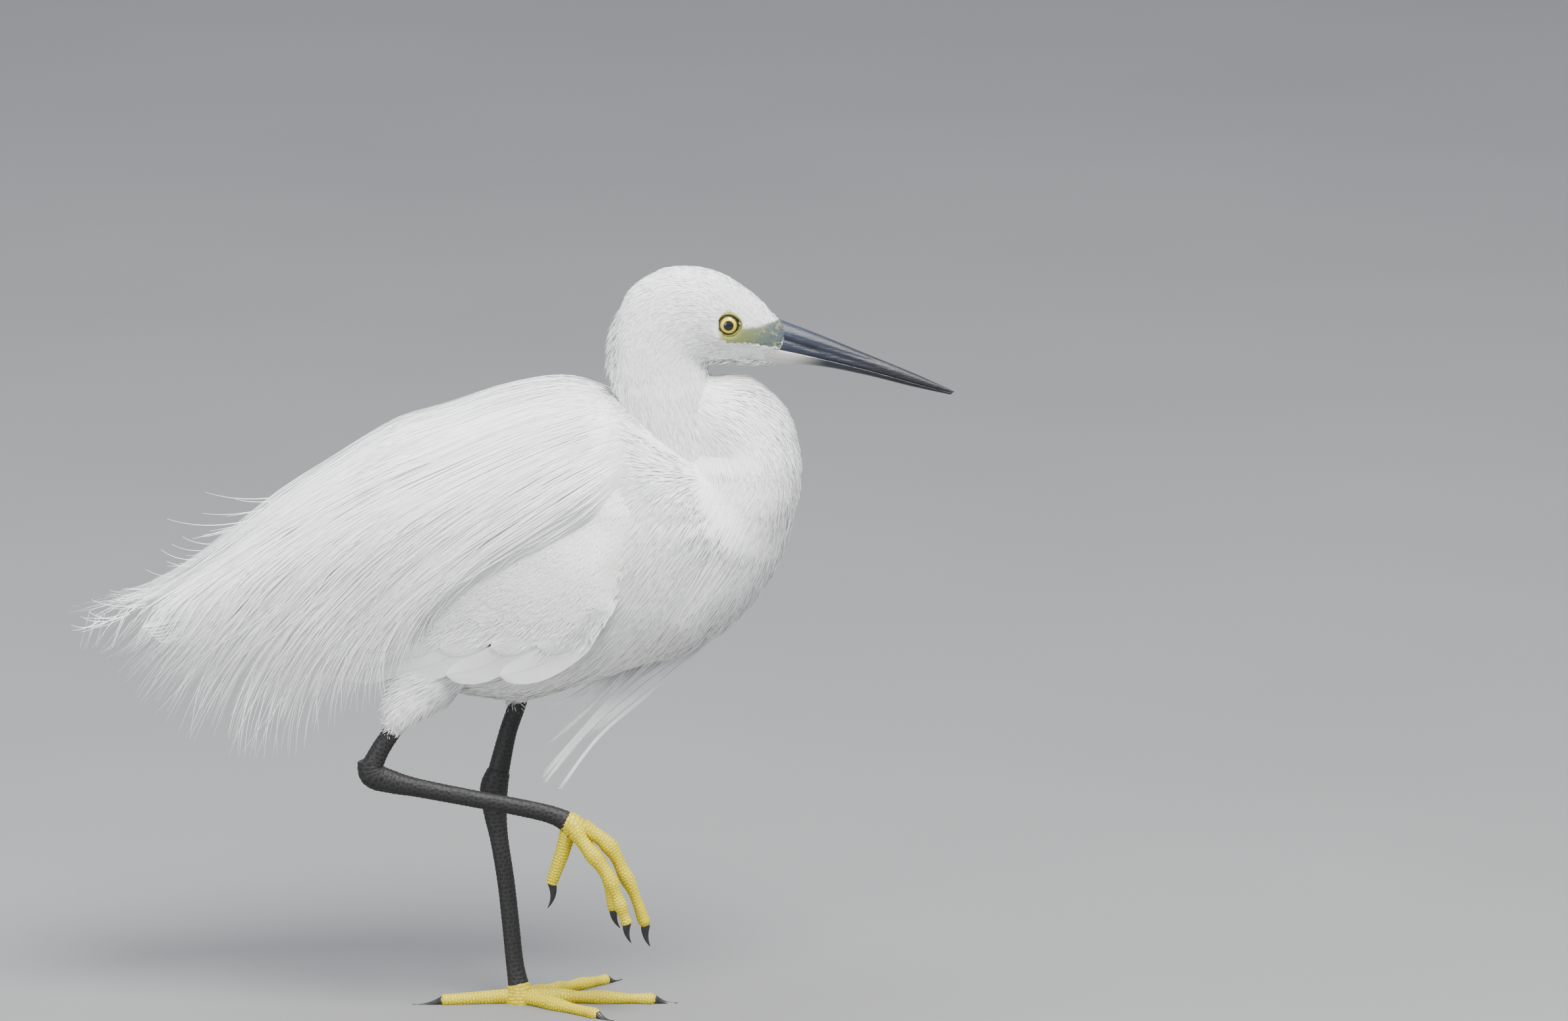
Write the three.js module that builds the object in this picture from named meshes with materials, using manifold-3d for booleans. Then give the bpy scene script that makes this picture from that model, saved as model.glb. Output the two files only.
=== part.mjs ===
// A little egret, life size, wading to the bird's own front (+X) on its left leg with the right foot lifted.
// Millimetres, +Z up, +Y to the bird's left. The origin is on the floor, under the pad of the standing foot.
// Side-view places are [x, z]. The body is a set of ribs, each running from the throat or belly line to the
// crown or back line, and the feathers lie at named depths outside it.
import * as THREE from "three";
import { mergeVertices } from "three/addons/utils/BufferGeometryUtils.js";
import Module from "manifold-3d";

const wasm = await Module();
wasm.setup();

// Driving dimensions
const GAP = 0.3; // clearance between nodes that touch
const FEATHER = 0.9; // thickness of a flight feather's vane, with its shaft
const RIDGE_TURN = 1.55; // radians from the widest level up to the crest of the back
const CREST = 0.3; // how steeply a feather that reaches past the crest stands up
const PARTING = 0.3; // how far feathers keep from the midline of the back
const TILT = 1.6; // how much higher one edge of a feather lies than the other, to lap over the next
const EYE_RADIUS = 5.2;
const EYE_PLACE = [94.8, 9.3, 315.2]; // x, distance from the midline, z
const LID_RADIUS = 4.7;
const LID_THICKNESS = 0.9;
const NOSTRIL = [124.5, 306.6];
const HANG = 0.14; // how far hanging feathers draw in below the widest level, as a share of the half width
const SOLE_SINK = 0.8; // how much of a toe's underside is worn flat by the floor
const SLIVER = 0.01; // detail this fine is merged away
const CORE_SIDES = 16;
const LIMB_SIDES = 8;
const RIGHT = -1;
const LEFT = 1;
const ACROSS = new THREE.Vector3(0, 1, 0);

// Ribs: throat or belly point x, z, crown or back point x, z, half width
const HEAD_AND_NECK = [
  [92, 236, 52, 256, 21],
  [90, 264, 44, 277, 20.5],
  [88, 283, 41, 290, 19.5],
  [86.5, 292, 41.3, 302, 18.6],
  [86, 294, 44, 316, 18],
  [86.3, 294.2, 52, 330.6, 17.4],
  [87, 294.5, 66, 338.8, 16.8],
  [90, 294.6, 80, 340, 16],
  [94, 294.6, 92, 337, 14.2],
  [99, 294.4, 102, 331, 12.2],
  [105, 294, 110, 324.5, 9.8],
  [112, 294.6, 116, 317.2, 7.6],
  [118, 295, 119, 314, 6.4],
];
const CROP = [
  [68, 262, 84, 290.5, 13],
  [75, 253, 102, 289, 20],
  [76, 243, 119, 276, 24.5],
  [74, 233, 127, 254, 30],
  [69, 223, 125.5, 231, 32],
  [60, 212, 110, 208, 28],
];
const TORSO = [
  [119, 214, 88, 247, 31],
  [113, 198.5, 70, 262, 36],
  [99, 181.5, 52, 277, 38],
  [80, 165, 38, 284.5, 38.5],
  [55, 152, 22, 287, 38.5],
  [30, 144, 5, 285, 38],
  [5, 141, -15, 279.5, 37],
  [-20, 142.5, -37, 270, 34.5],
  [-45, 148, -60, 258, 30],
  [-68, 157, -80, 245, 24],
  [-88, 167, -95, 229, 17],
  [-103, 177, -106, 210, 10],
  [-110, 186, -111, 198, 5],
];
// The surface that wings and plumes lie on: the torso's flanks, carried on over the tail
const WRAP = [
  ...TORSO.slice(0, 9),
  [-69, 156, -80, 245, 26],
  [-94, 160, -104, 229, 23],
  [-119, 163, -126, 211, 20],
  [-143, 165, -147, 194, 17],
  [-168, 167, -170, 181, 13],
  [-200, 168, -201, 172, 8],
];
const TAIL_CORE = [
  [-98, 180, -98, 206, 9],
  [-112, 176, -112, 193, 11],
  [-126, 173, -126, 182, 9],
];
const BREAST = [
  [113, 207, 98, 216, 20],
  [105, 190, 88, 205, 24],
  [98, 175, 78, 195, 25],
  [89, 164, 66, 185, 24],
  [75, 153, 52, 172, 21],
  [61, 142, 41, 158, 17],
  [49, 134, 31, 147, 13],
  [37, 124, 20, 137, 9],
  [27, 111, 9, 126, 6],
  [20, 98.5, 1, 113, 3],
];

// Thin cuts that part the body into head, neck and torso
const NECK_TOP = [[30, 303.5], [86.5, 293.4]];
const NECK_FOLD = [[88.2, 300], [82, 243]];
const NECK_ROOT = [[20, 303], [82, 243]];
const CROP_ROOT = [[82, 243], [150, 183]];

// Bill: both mandibles share the mouth line
const MOUTH = [[110, 304], [130, 299.6], [155, 293.2], [178, 286.4], [194.6, 281.4]];
const CULMEN = [[117, 315.2], [135, 308.2], [156, 299.4], [178, 290.2], [195.6, 282.1]];
const GONYS = [[112, 295.2], [134, 294.2], [155, 290.2], [177, 284.6], [193.8, 280.9]];
const BILL_WIDTH = [[5.9], [4.7], [3.4], [2.2], [0.5]];
const GAPE = [[92.5, 12.9, 307.1], [113, 7.6, 303.2]];
const GROOVE = 0.9; // depth of the corner of the mouth

// The solid part of each wing, from which its feathers grow: lower and upper edge, front to rear
const WING_LOW = [[49, 209], [44, 190], [31, 174], [12, 164], [-12, 161], [-45, 164], [-72, 172]];
const WING_HIGH = [[52, 231], [47, 248], [28, 256], [0, 254], [-25, 248], [-50, 238], [-74, 224]];
// The room that a whole wing takes
const ROOM_LOW = [
  [50, 205], [44, 185], [31, 170], [12, 158], [-12, 155], [-45, 154], [-100, 156], [-140, 160], [-172, 169],
];
const ROOM_HIGH = [
  [54, 233], [47, 251], [25, 259], [-10, 256], [-50, 244], [-90, 226], [-120, 211], [-148, 196], [-172, 186],
];
// Tiers of each wing, inner ones first. Each row goes from its lowest feather to its highest: their count, the
// roots' and the tips' places, the depths of root and tip, the width, and how much the tip is rounded.
const WING_TIERS = [
  [5, [[-4, 166], [-16, 196]], [[-148, 164], [-167, 182]], [0.6, 2.2], 10, 0.5],
  [6, [[16, 178], [8, 240]], [[-88, 164], [-128, 200]], [0.6, 4.7], 15, 0.8],
  [6, [[34, 184], [26, 244]], [[-20, 162], [-44, 226]], [1.6, 5.6], 15, 1],
  [5, [[44, 192], [42, 244]], [[8, 164], [-4, 236]], [3, 7.3], 15, 1],
  [4, [[50, 207], [51, 236]], [[27, 174], [22, 243]], [4.2, 8.4], 17, 1],
];

// The back's long plumes fan out from the mantle. Layers: how many, where their roots and tips lie from the
// lowest to the highest (tips: x, z and how far they rise off the body), how much of the way to the tips they
// reach, and how far they lie outside the wing at root and tip.
const MANTLE_LOW = [[46, 260], [30, 249], [8, 241], [-18, 235], [-44, 238]];
const MANTLE_HIGH = [[30, 322], [12, 320], [-12, 312], [-32, 298], [-52, 286]];
const PLUME_TIPS = [
  [-64, 126, 0],
  [-84, 122, 0],
  [-101, 116, 0],
  [-121, 117, 0],
  [-139, 121, 0],
  [-152, 127, 0],
  [-164, 146, 0],
  [-175, 163, 0],
  [-184, 175, 3],
  [-191, 180, 10],
  [-182, 188, 13],
];
const PLUME_LAYERS = [
  { count: 9, roots: [[43, 255], [-28, 293]], share: [0, 1], reach: [1, 1], off: [1.3, 2.3] },
  { count: 8, roots: [[40, 260], [-20, 300]], share: [0.06, 0.95], reach: [0.9, 0.97], off: [2.4, 5] },
  { count: 4, roots: [[35, 271], [0, 310]], share: [0.25, 0.97], reach: [0.6, 0.75], off: [3.5, 7.7] },
];

// Legs and feet: x, y, z, half depth, half width
const TIBIA = {
  left: [
    [2, 14.5, 160, 6, 5],
    [0, 14, 138, 4.2, 3.7],
    [-5, 12, 122, 4, 3.5],
    [-10, 9, 101, 5, 4.2],
  ],
  right: [
    [-44, -23, 155, 6, 5],
    [-55, -24, 133.5, 4.2, 3.7],
    [-61, -24.7, 124, 4.2, 3.7],
    [-65, -25, 116, 4.8, 4.2],
  ],
};
const TARSUS = {
  left: [
    [-9, 9.3, 105, 5.2, 4.4],
    [-11.2, 8.2, 97, 6.3, 4.9],
    [-10.6, 7, 86, 5.2, 4],
    [-8.8, 5.6, 74, 4.1, 3.3],
    [-6, 3.8, 56, 3.9, 3.1],
    [-4, 2.2, 38, 3.9, 3.1],
    [-2, 0.8, 18, 4, 3.2],
    [-0.2, 0, 7, 4.9, 4.6],
    [0, 0, 3, 6, 5.6],
    [0, 0, 0, 6.2, 5.8],
  ],
  right: [
    [-66.5, -25, 119, 5, 4.3],
    [-64.5, -25, 112, 6, 4.9],
    [-56, -25, 108.6, 5.2, 4.2],
    [-44, -25, 105.8, 4.2, 3.4],
    [-20, -25, 101, 3.9, 3.1],
    [2, -24.6, 96.6, 3.9, 3.1],
    [16, -24.2, 93, 4.1, 3.4],
    [24, -24, 88.6, 4.9, 4.6],
    [26, -24, 84.5, 4.6, 5],
  ],
};
const THIGH = {
  left: [
    [14, 15, 172, 20, 15],
    [7, 15, 156, 15, 12],
    [2, 14.4, 145, 9, 8],
    [0, 14, 138.5, 5.4, 4.9],
  ],
  right: [
    [-30, -18, 174, 20, 10],
    [-39, -20.5, 157, 16, 9.5],
    [-49, -23, 143.5, 9.5, 8],
    [-54, -24, 135, 5.4, 4.9],
  ],
};
// Toes of the standing foot: direction in plan in degrees, length, thickness, bones, claw length
const STANDING_TOES = {
  middle: { turn: -2, length: 62, thick: 3.5, bones: 3, claw: 9.5 },
  hind: { turn: 186, length: 36, thick: 3.4, bones: 1, claw: 12.5 },
  inner: { turn: -38, length: 46, thick: 3.3, bones: 2, claw: 9 },
  outer: { turn: 40, length: 52, thick: 3.3, bones: 4, claw: 8 },
};
// Toes of the lifted foot: the line of each toe, and the tip of its claw
const LIFTED_TOES = {
  middle: {
    line: [
      [29, -24, 87.5], [37.3, -24.2, 82.4], [42.8, -24.4, 76.4], [47.6, -24.6, 66.5], [52, -24.8, 57.4],
      [57.6, -25, 41.5],
    ],
    tip: [59.4, -25.2, 32.5],
  },
  hind: {
    line: [[22.6, -23.6, 85.5], [20.2, -23.2, 76], [16.9, -22.6, 66.5], [14.9, -22.2, 60.5]],
    tip: [13.3, -22, 49.5],
  },
  inner: {
    line: [[26, -20.5, 85.5], [32.6, -18.2, 75.6], [39.4, -16.6, 63.5], [43.2, -15.6, 46.5]],
    tip: [45.8, -15.4, 38.5],
  },
  outer: {
    line: [
      [25.8, -27.6, 86.4], [32.4, -29.8, 77.8], [40, -31.6, 68.3], [44, -32.6, 59.4], [46.9, -33.2, 51.5],
      [49.3, -33.6, 44.6],
    ],
    tip: [51, -34, 36.5],
  },
};

// Curves and numbers
const mix = (a, b, f) => a + (b - a) * f;
const mixAll = (a, b, f) => a.map((value, k) => mix(value, b[k], f));
const smoothStep = (a, b, v) => THREE.MathUtils.smoothstep(v, a, b);

// A smooth curve through rows of numbers: t is 0 at the first row and rows.length - 1 at the last.
function through(rows, t) {
  const last = rows.length - 1;
  const i = Math.min(Math.max(Math.floor(t), 0), last - 1);
  const f = t - i;
  const row = (k) => rows[Math.min(Math.max(k, 0), last)];
  const [a, b, c, d] = [row(i - 1), row(i), row(i + 1), row(i + 2)];
  return b.map((value, k) => {
    const rise = (c[k] - a[k]) / 2;
    const next = (d[k] - value) / 2;
    const step = c[k] - value;
    return value + f * (rise + f * (3 * step - 2 * rise - next + f * (rise + next - 2 * step)));
  });
}

const along = (rows, f) => through(rows, f * (rows.length - 1));

// Solids

// A closed skin over rings of points. Every ring has the same even count, and point i faces point
// count - 1 - i across the ring, so thin plates are split alike on both faces.
function loft(rings) {
  const points = rings.flat();
  const faces = [];
  const count = rings[0].length;
  const half = count / 2;
  for (let k = 0; k + 1 < rings.length; k += 1) {
    for (let i = 0; i < count; i += 1) {
      const j = (i + 1) % count;
      const [a, b, c, d] = [k * count + i, k * count + j, (k + 1) * count + j, (k + 1) * count + i];
      if (i < half) faces.push([a, b, c], [a, c, d]);
      else faces.push([b, c, d], [b, d, a]);
    }
  }
  for (const [ring, turned] of [[0, false], [rings.length - 1, true]]) {
    for (let i = 0; i + 1 < half; i += 1) {
      const quad = [i, i + 1, count - 2 - i, count - 1 - i].map((n) => n + ring * count);
      const [a, b, c, d] = turned ? quad : quad.reverse();
      faces.push([a, b, c], [a, c, d]);
    }
  }
  return closed(points, faces);
}

// A solid from points and faces, turned so that its faces point out.
function closed(points, faces) {
  const volume = faces.reduce((sum, [a, b, c]) => sum + points[a].dot(points[b].clone().cross(points[c])), 0);
  const turned = volume < 0 ? faces.map(([a, b, c]) => [a, c, b]) : faces;
  return new wasm.Manifold(
    new wasm.Mesh({
      numProp: 3,
      vertProperties: new Float32Array(points.flatMap((p) => p.toArray())),
      triVerts: new Uint32Array(turned.flat()),
    }),
  );
}

// A closed three.js geometry, placed by a matrix, as a solid.
function solidOf(geometry, matrix = new THREE.Matrix4()) {
  const g = geometry.clone().applyMatrix4(matrix);
  g.deleteAttribute("normal");
  g.deleteAttribute("uv");
  const merged = mergeVertices(g, 1e-3);
  return new wasm.Manifold(
    new wasm.Mesh({
      numProp: 3,
      vertProperties: merged.attributes.position.array,
      triVerts: new Uint32Array(merged.index.array),
    }),
  );
}

const join = (solids) => solids.reduce((sum, each) => sum.add(each));

// The largest closed surface of a solid, without loose scraps, sealed hollows or slivers.
function largest(solid) {
  const bodies = solid.simplify(SLIVER).decompose();
  return bodies.reduce((best, each) => (each.volume() > best.volume() ? each : best));
}

function ball(centre, radius, around, high) {
  const matrix = new THREE.Matrix4().setPosition(centre);
  return solidOf(new THREE.SphereGeometry(radius, around, high), matrix);
}

// The body's ribs

// One rib at t along a list of ribs, grown all round by grow.
function ribAt(ribs, t, grow = 0) {
  const [x0, z0, x1, z1, w] = through(ribs, t);
  const up = new THREE.Vector2(x1 - x0, z1 - z0);
  const h = up.length() / 2;
  up.normalize();
  return { x: (x0 + x1) / 2, z: (z0 + z1) / 2, up, h: h + grow, w: w + grow };
}

// The point of a rib at an angle: 0 at the bird's left, a quarter turn at the crown or back line.
function ribPoint(rib, angle) {
  const rise = rib.h * Math.sin(angle);
  return new THREE.Vector3(rib.x + rib.up.x * rise, rib.w * Math.cos(angle), rib.z + rib.up.y * rise);
}

function ribbed(ribs, perRib, grow = 0) {
  const steps = Math.round((ribs.length - 1) * perRib);
  const rings = [];
  for (let k = 0; k <= steps; k += 1) {
    const rib = ribAt(ribs, (k / steps) * (ribs.length - 1), grow);
    const ring = [];
    for (let i = 0; i < CORE_SIDES; i += 1) ring.push(ribPoint(rib, (2 * Math.PI * (i + 0.5)) / CORE_SIDES));
    rings.push(ring);
  }
  return loft(rings);
}

// Where the side-view point [x, z] lies on the wrap surface: the rib it is on, and its height on that rib,
// from -1 at the belly line to 1 at the back line.
function onWrap(x, z) {
  let low = 0.4;
  let high = WRAP.length - 1;
  for (let k = 0; k < 24; k += 1) {
    const t = (low + high) / 2;
    const { up, x: midX, z: midZ } = ribAt(WRAP, t);
    const isBehind = up.x * (z - midZ) - up.y * (x - midX) > 0;
    if (isBehind) low = t;
    else high = t;
  }
  const rib = ribAt(WRAP, (low + high) / 2);
  return { rib, height: ((x - rib.x) * rib.up.x + (z - rib.z) * rib.up.y) / rib.h };
}

// The point at depth off outside the wrap surface, at the side-view place [x, z]. Above the widest level the
// side view is unrolled: z runs up over the back along the surface. Feathers below that level hang, rather
// than follow the flank round under the belly.
function flank([x, z], off, side) {
  const { rib, height } = onWrap(x, z);
  if (height < 0) {
    const drop = Math.min(height * height, 2);
    return new THREE.Vector3(x, side * (rib.w * (1 - HANG * drop) + off), z);
  }
  const turn = Math.min(height, RIDGE_TURN);
  const rise = Math.sin(turn);
  const run = Math.cos(turn);
  const normal = new THREE.Vector2(run / rib.w, rise / rib.h).normalize();
  const lift = (rise + CREST * (height - turn)) * rib.h + normal.y * off;
  return new THREE.Vector3(
    rib.x + rib.up.x * lift,
    side * (rib.w * run + normal.x * off + PARTING * rise),
    rib.z + rib.up.y * lift,
  );
}

// Plates, vanes and locks

// A plate between two depths over a side-view patch. patch(a, b) gives [x, z], and depths(a, b, place) gives
// the inner and outer depth; a runs along the stations and b across them.
function plate(patch, depths, side, stations, across) {
  const rings = stations.map((a) => {
    const inner = [];
    const outer = [];
    for (let i = 0; i <= across; i += 1) {
      const place = patch(a, i / across);
      const [low, high] = depths(a, i / across, place);
      inner.unshift(flank(place, low, side));
      outer.push(flank(place, high, side));
    }
    return [...outer, ...inner];
  });
  return loft(rings);
}

const evenly = (count) => Array.from({ length: count + 1 }, (_, k) => k / count);

// The four-cornered patch between two side-view curves
const between = (low, high) => (a, b) => mixAll(along(low, a), along(high, a), b);

// How much shallower the wing lies towards its upper edge, where it sinks into the mantle
function settle([x, z]) {
  return 1 - 0.5 * smoothStep(0.3, 0.75, onWrap(x, z).height);
}

// How far the whole wing reaches outside the wrap surface at a side-view place
function wingTop(place) {
  const front = mix(5, 10.2, smoothStep(-185, -40, place[0]));
  return front * settle(place);
}

// The side-view patch of one feather from root to tip, bending by sag, with its widths along a
function featherPatch(root, tip, sag, widthAt) {
  const way = new THREE.Vector2(tip[0] - root[0], tip[1] - root[1]);
  const acrossWay = new THREE.Vector2(way.y, -way.x).normalize();
  return (a, b) => {
    const off = sag * 4 * a * (1 - a) + (b - 0.5) * widthAt(a);
    return [root[0] + way.x * a + acrossWay.x * off, root[1] + way.y * a + acrossWay.y * off];
  };
}

const FLIGHT_STATIONS = [0, 0.35, 0.7, 0.9, 1];

function flightFeather({ root, tip, width, round, depths: [from, to], side }) {
  const widthAt = (a) => {
    const base = mix(0.5, 1, smoothStep(0, 0.4, a));
    const end = a < 0.7 ? 1 : Math.sqrt(Math.max(1 - ((a - 0.7) / 0.302) ** 2, 0.02));
    return width * base * mix(1 - 0.8 * a * a, end, round);
  };
  const depths = (a, b, place) => {
    const half = (FEATHER / 2) * mix(1, 0.6, a);
    const middle = mix(from, to, a) * settle(place) - TILT * (b - 0.5) * smoothStep(0, 0.3, a);
    return [middle - half, middle + half];
  };
  return plate(featherPatch(root, tip, 0, widthAt), depths, side, FLIGHT_STATIONS, 1);
}

// One tier of a wing, lowest feather first
function tier([count, roots, tips, depths, width, round], side) {
  return evenly(count - 1).map((f) =>
    flightFeather({
      root: mixAll(roots[0], roots[1], f),
      tip: mixAll(tips[0], tips[1], f),
      width,
      round,
      depths,
      side,
    }),
  );
}

function wingCore(side) {
  const depths = (a, b, place) => {
    const swell = Math.sin(Math.PI * mix(0.2, 0.8, b)) ** 0.5;
    return [-1, mix(5.6, 1.6, a) * swell * settle(place)];
  };
  return plate(between(WING_LOW, WING_HIGH), depths, side, evenly(6), 3);
}

const wingSolid = (side) => join([wingCore(side), ...WING_TIERS.flatMap((row) => tier(row, side))]);

function wingRoom(side) {
  const depths = (a, b, place) => [-2, wingTop(place) + GAP];
  return plate(between(ROOM_LOW, ROOM_HIGH), depths, side, evenly(14), 5);
}

function mantle(side) {
  const depths = (a, b, place) => {
    const overWing = wingTop(place) + 4.6;
    const overBack = smoothStep(0.35, 0.9, b) * (1 - 0.4 * a);
    return [-1.5, mix(overWing, 5, overBack) * mix(0.6, 1, smoothStep(0, 0.2, a))];
  };
  return plate(between(MANTLE_LOW, MANTLE_HIGH), depths, side, evenly(6), 4);
}

const PLUME_STATIONS = [0, 0.18, 0.38, 0.6, 0.82, 1];

// A long plume that laps a little over its neighbours, pitch away, and is drawn out to a fine tip
function plume({ root, tip, pitch, off, rise, sag, side }) {
  const widthAt = (a) => 1.2 * mix(pitch[0], pitch[1], a) * mix(1, 0.06, smoothStep(0.3, 1, a));
  const depths = (a, b, place) => {
    const half = (FEATHER / 2) * mix(1, 0.5, a);
    const settled = smoothStep(0, 0.35, a);
    const lie = wingTop(place) + mix(off[0], off[1], settled) + rise * a ** 3;
    const middle = lie - TILT * (b - 0.5) * mix(0.25, 1, settled);
    return [middle - half, middle + half];
  };
  return plate(featherPatch(root, tip, sag, widthAt), depths, side, PLUME_STATIONS, 1);
}

function plumeLayer({ count, roots, share, reach, off }, side) {
  const rootAt = (f) => mixAll(roots[0], roots[1], f);
  const endAt = (f) => along(PLUME_TIPS, mix(share[0], share[1], f));
  const tipAt = (f) => mixAll(rootAt(f), endAt(f), mix(reach[0], reach[1], f));
  return evenly(count - 1).map((f) => {
    const root = rootAt(f);
    const tip = tipAt(f);
    const way = new THREE.Vector2(tip[0] - root[0], tip[1] - root[1]).normalize();
    const pitch = [rootAt, tipAt].map((placeAt) => {
      const [[x0, z0], [x1, z1]] = [placeAt(Math.max(f - 0.1, 0)), placeAt(Math.min(f + 0.1, 1))];
      const span = Math.min(f + 0.1, 1) - Math.max(f - 0.1, 0);
      return Math.abs((x1 - x0) * way.y - (z1 - z0) * way.x) / span / (count - 1);
    });
    return plume({ root, tip, pitch, off, rise: endAt(f)[2], sag: mix(3, 15, f * f), side });
  });
}

function plumesSolid(side, taken) {
  return join([mantle(side).subtract(taken), ...PLUME_LAYERS.flatMap((row) => plumeLayer(row, side))]);
}

// A flat blade along places, each with the directions across and out of it, half width and half thickness
function blade(stations) {
  return loft(
    stations.map(({ place, across, out, half, thick }) => {
      const a = across.clone().multiplyScalar(half);
      const o = out.clone().multiplyScalar(thick);
      return [
        place.clone().sub(a).add(o),
        place.clone().add(a).add(o),
        place.clone().add(a).sub(o),
        place.clone().sub(a).sub(o),
      ];
    }),
  );
}

const LOCK_STATIONS = [0, 0.3, 0.65, 1];

// A lock that lies on ribs at an angle round them. It starts sink below the surface, and its tip stands lift
// above it.
function ribLock(ribs, { angle, from, to, width, sink, lift }) {
  const stations = LOCK_STATIONS.map((f) => {
    const t = mix(from, to, f);
    const height = mix(-sink, lift, Math.sqrt(f));
    const rib = ribAt(ribs, t, height);
    const place = ribPoint(rib, angle);
    const across = ribPoint(rib, angle + 0.05).sub(place).normalize();
    const ahead = ribPoint(ribAt(ribs, t + 0.05 * Math.sign(to - from), height), angle);
    const way = ahead.sub(place).normalize();
    const out = across.clone().cross(way).normalize();
    const shape = mix(0.6, 1, smoothStep(0, 0.3, f)) * mix(1, 0.1, smoothStep(0.4, 1, f));
    return { place, across, out, half: (width / 2) * shape, thick: 0.45 * mix(1, 0.5, f) };
  });
  return blade(stations);
}

const BREAST_ROWS = [
  { count: 4, spread: 1.4, from: 3.6, to: [8.6, 9.8], width: 8, lift: 0.3 },
  { count: 4, spread: 1.3, from: 2.2, to: [7, 7.9], width: 11, lift: 1.7 },
  { count: 5, spread: 1.3, from: 0.4, to: [4.8, 5.9], width: 12, lift: 3.1 },
];

function breastPlumes() {
  const core = ribbed(BREAST.slice(0, 6), 1, -1.4);
  const locks = BREAST_ROWS.flatMap(({ count, spread, from, to, width, lift }) =>
    evenly(count - 1).map((f) => {
      const angle = -Math.PI / 2 + mix(-spread, spread, f);
      const middle = 1 - Math.abs(2 * f - 1);
      return ribLock(BREAST, {
        angle, from, to: mix(to[0], to[1], middle), width, sink: 2.2, lift,
      });
    }),
  );
  return join([core, ...locks]);
}

// Short pointed feathers down the nape
const HACKLES = [
  { angle: 0, from: 6.6, to: 5.3 },
  { angle: -0.5, from: 6, to: 4.7 },
  { angle: 0.5, from: 6, to: 4.7 },
  { angle: 0, from: 5.1, to: 4 },
  { angle: -0.5, from: 4.6, to: 3.5 },
  { angle: 0.5, from: 4.6, to: 3.5 },
];

const hackles = () => HACKLES.map(({ angle, from, to }) =>
  ribLock(HEAD_AND_NECK, {
    angle: Math.PI / 2 + angle, from, to, width: 8, sink: 1.4, lift: 1.7,
  }),
);

const TAIL_FEATHERS = 6;

function tailSolid() {
  const core = ribbed(TAIL_CORE, 2);
  const vanes = evenly(TAIL_FEATHERS - 1).map((f) => {
    const spread = 2 * f - 1;
    const middle = 1 - Math.abs(spread);
    const stations = FLIGHT_STATIONS.map((a) => ({
      place: new THREE.Vector3(
        mix(-106, mix(-160, -168, middle), a),
        spread * mix(3, 8.2, a),
        mix(188, mix(169.8, 174.6, middle), a),
      ),
      across: new THREE.Vector3(0, 1, -0.28 * spread).normalize(),
      out: new THREE.Vector3(0.2, 0.28 * spread, 1).normalize(),
      half: 4.3 * mix(0.7, 1, smoothStep(0, 0.4, a)) * (a < 0.8 ? 1 : mix(1, 0.45, (a - 0.8) / 0.2)),
      thick: 0.45,
    }));
    return blade(stations);
  });
  return join([core, ...vanes]);
}

// Head
const eyeCentre = (side) => new THREE.Vector3(EYE_PLACE[0], side * EYE_PLACE[1], EYE_PLACE[2]);

function lid(side) {
  const matrix = new THREE.Matrix4()
    .makeRotationX(Math.PI / 2)
    .setPosition(EYE_PLACE[0], side * (EYE_PLACE[1] + 3.9), EYE_PLACE[2]);
  return solidOf(new THREE.TorusGeometry(LID_RADIUS, LID_THICKNESS, 4, 12), matrix);
}

// A mandible between the mouth line and its own edge line. roof is 1 for the upper one, -1 for the lower one.
function mandible(edge, roof) {
  const rings = evenly(10).map((f) => {
    const [mouthX, mouthZ] = along(MOUTH, f);
    const [edgeX, edgeZ] = along(edge, f);
    const [width] = along(BILL_WIDTH, f);
    return evenly(7).map((g) => {
      const rise = Math.sin(Math.PI * g) ** 0.85;
      const height = mix(mouthZ, edgeZ, rise) + (roof * GAP) / 2;
      return new THREE.Vector3(mix(mouthX, edgeX, rise), width * Math.cos(Math.PI * g), height);
    });
  });
  return loft(rings);
}

function nostril(side) {
  const matrix = new THREE.Matrix4()
    .makeRotationY(0.36)
    .scale(new THREE.Vector3(4.2, 1.5, 0.75))
    .setPosition(NOSTRIL[0], side * 5.1, NOSTRIL[1]);
  return solidOf(new THREE.SphereGeometry(1, 8, 5), matrix);
}

// The corner of the mouth: a groove in the cheek from the bill back to below the eye
function gape(side) {
  const [from, to] = GAPE.map(([x, y, z]) => new THREE.Vector3(x, side * y, z));
  const matrix = new THREE.Matrix4()
    .lookAt(from, to, new THREE.Vector3(0, 0, 1))
    .setPosition(from.clone().lerp(to, 0.5));
  return solidOf(new THREE.BoxGeometry(2 * GROOVE, GROOVE / 2, from.distanceTo(to)), matrix);
}

// A thin slab that cuts along a side-view line through the whole width
function cut([x0, z0], [x1, z1]) {
  const length = Math.hypot(x1 - x0, z1 - z0) + GAP;
  const matrix = new THREE.Matrix4()
    .makeRotationY(-Math.atan2(z1 - z0, x1 - x0))
    .setPosition((x0 + x1) / 2, 0, (z0 + z1) / 2);
  return solidOf(new THREE.BoxGeometry(length, 200, GAP), matrix);
}

const wholeBody = (grow) => join([
  ribbed(TORSO, 1.5, grow),
  ribbed(CROP, 2, grow),
  ribbed(HEAD_AND_NECK, 1.5, grow),
]);

// Legs and feet

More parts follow.
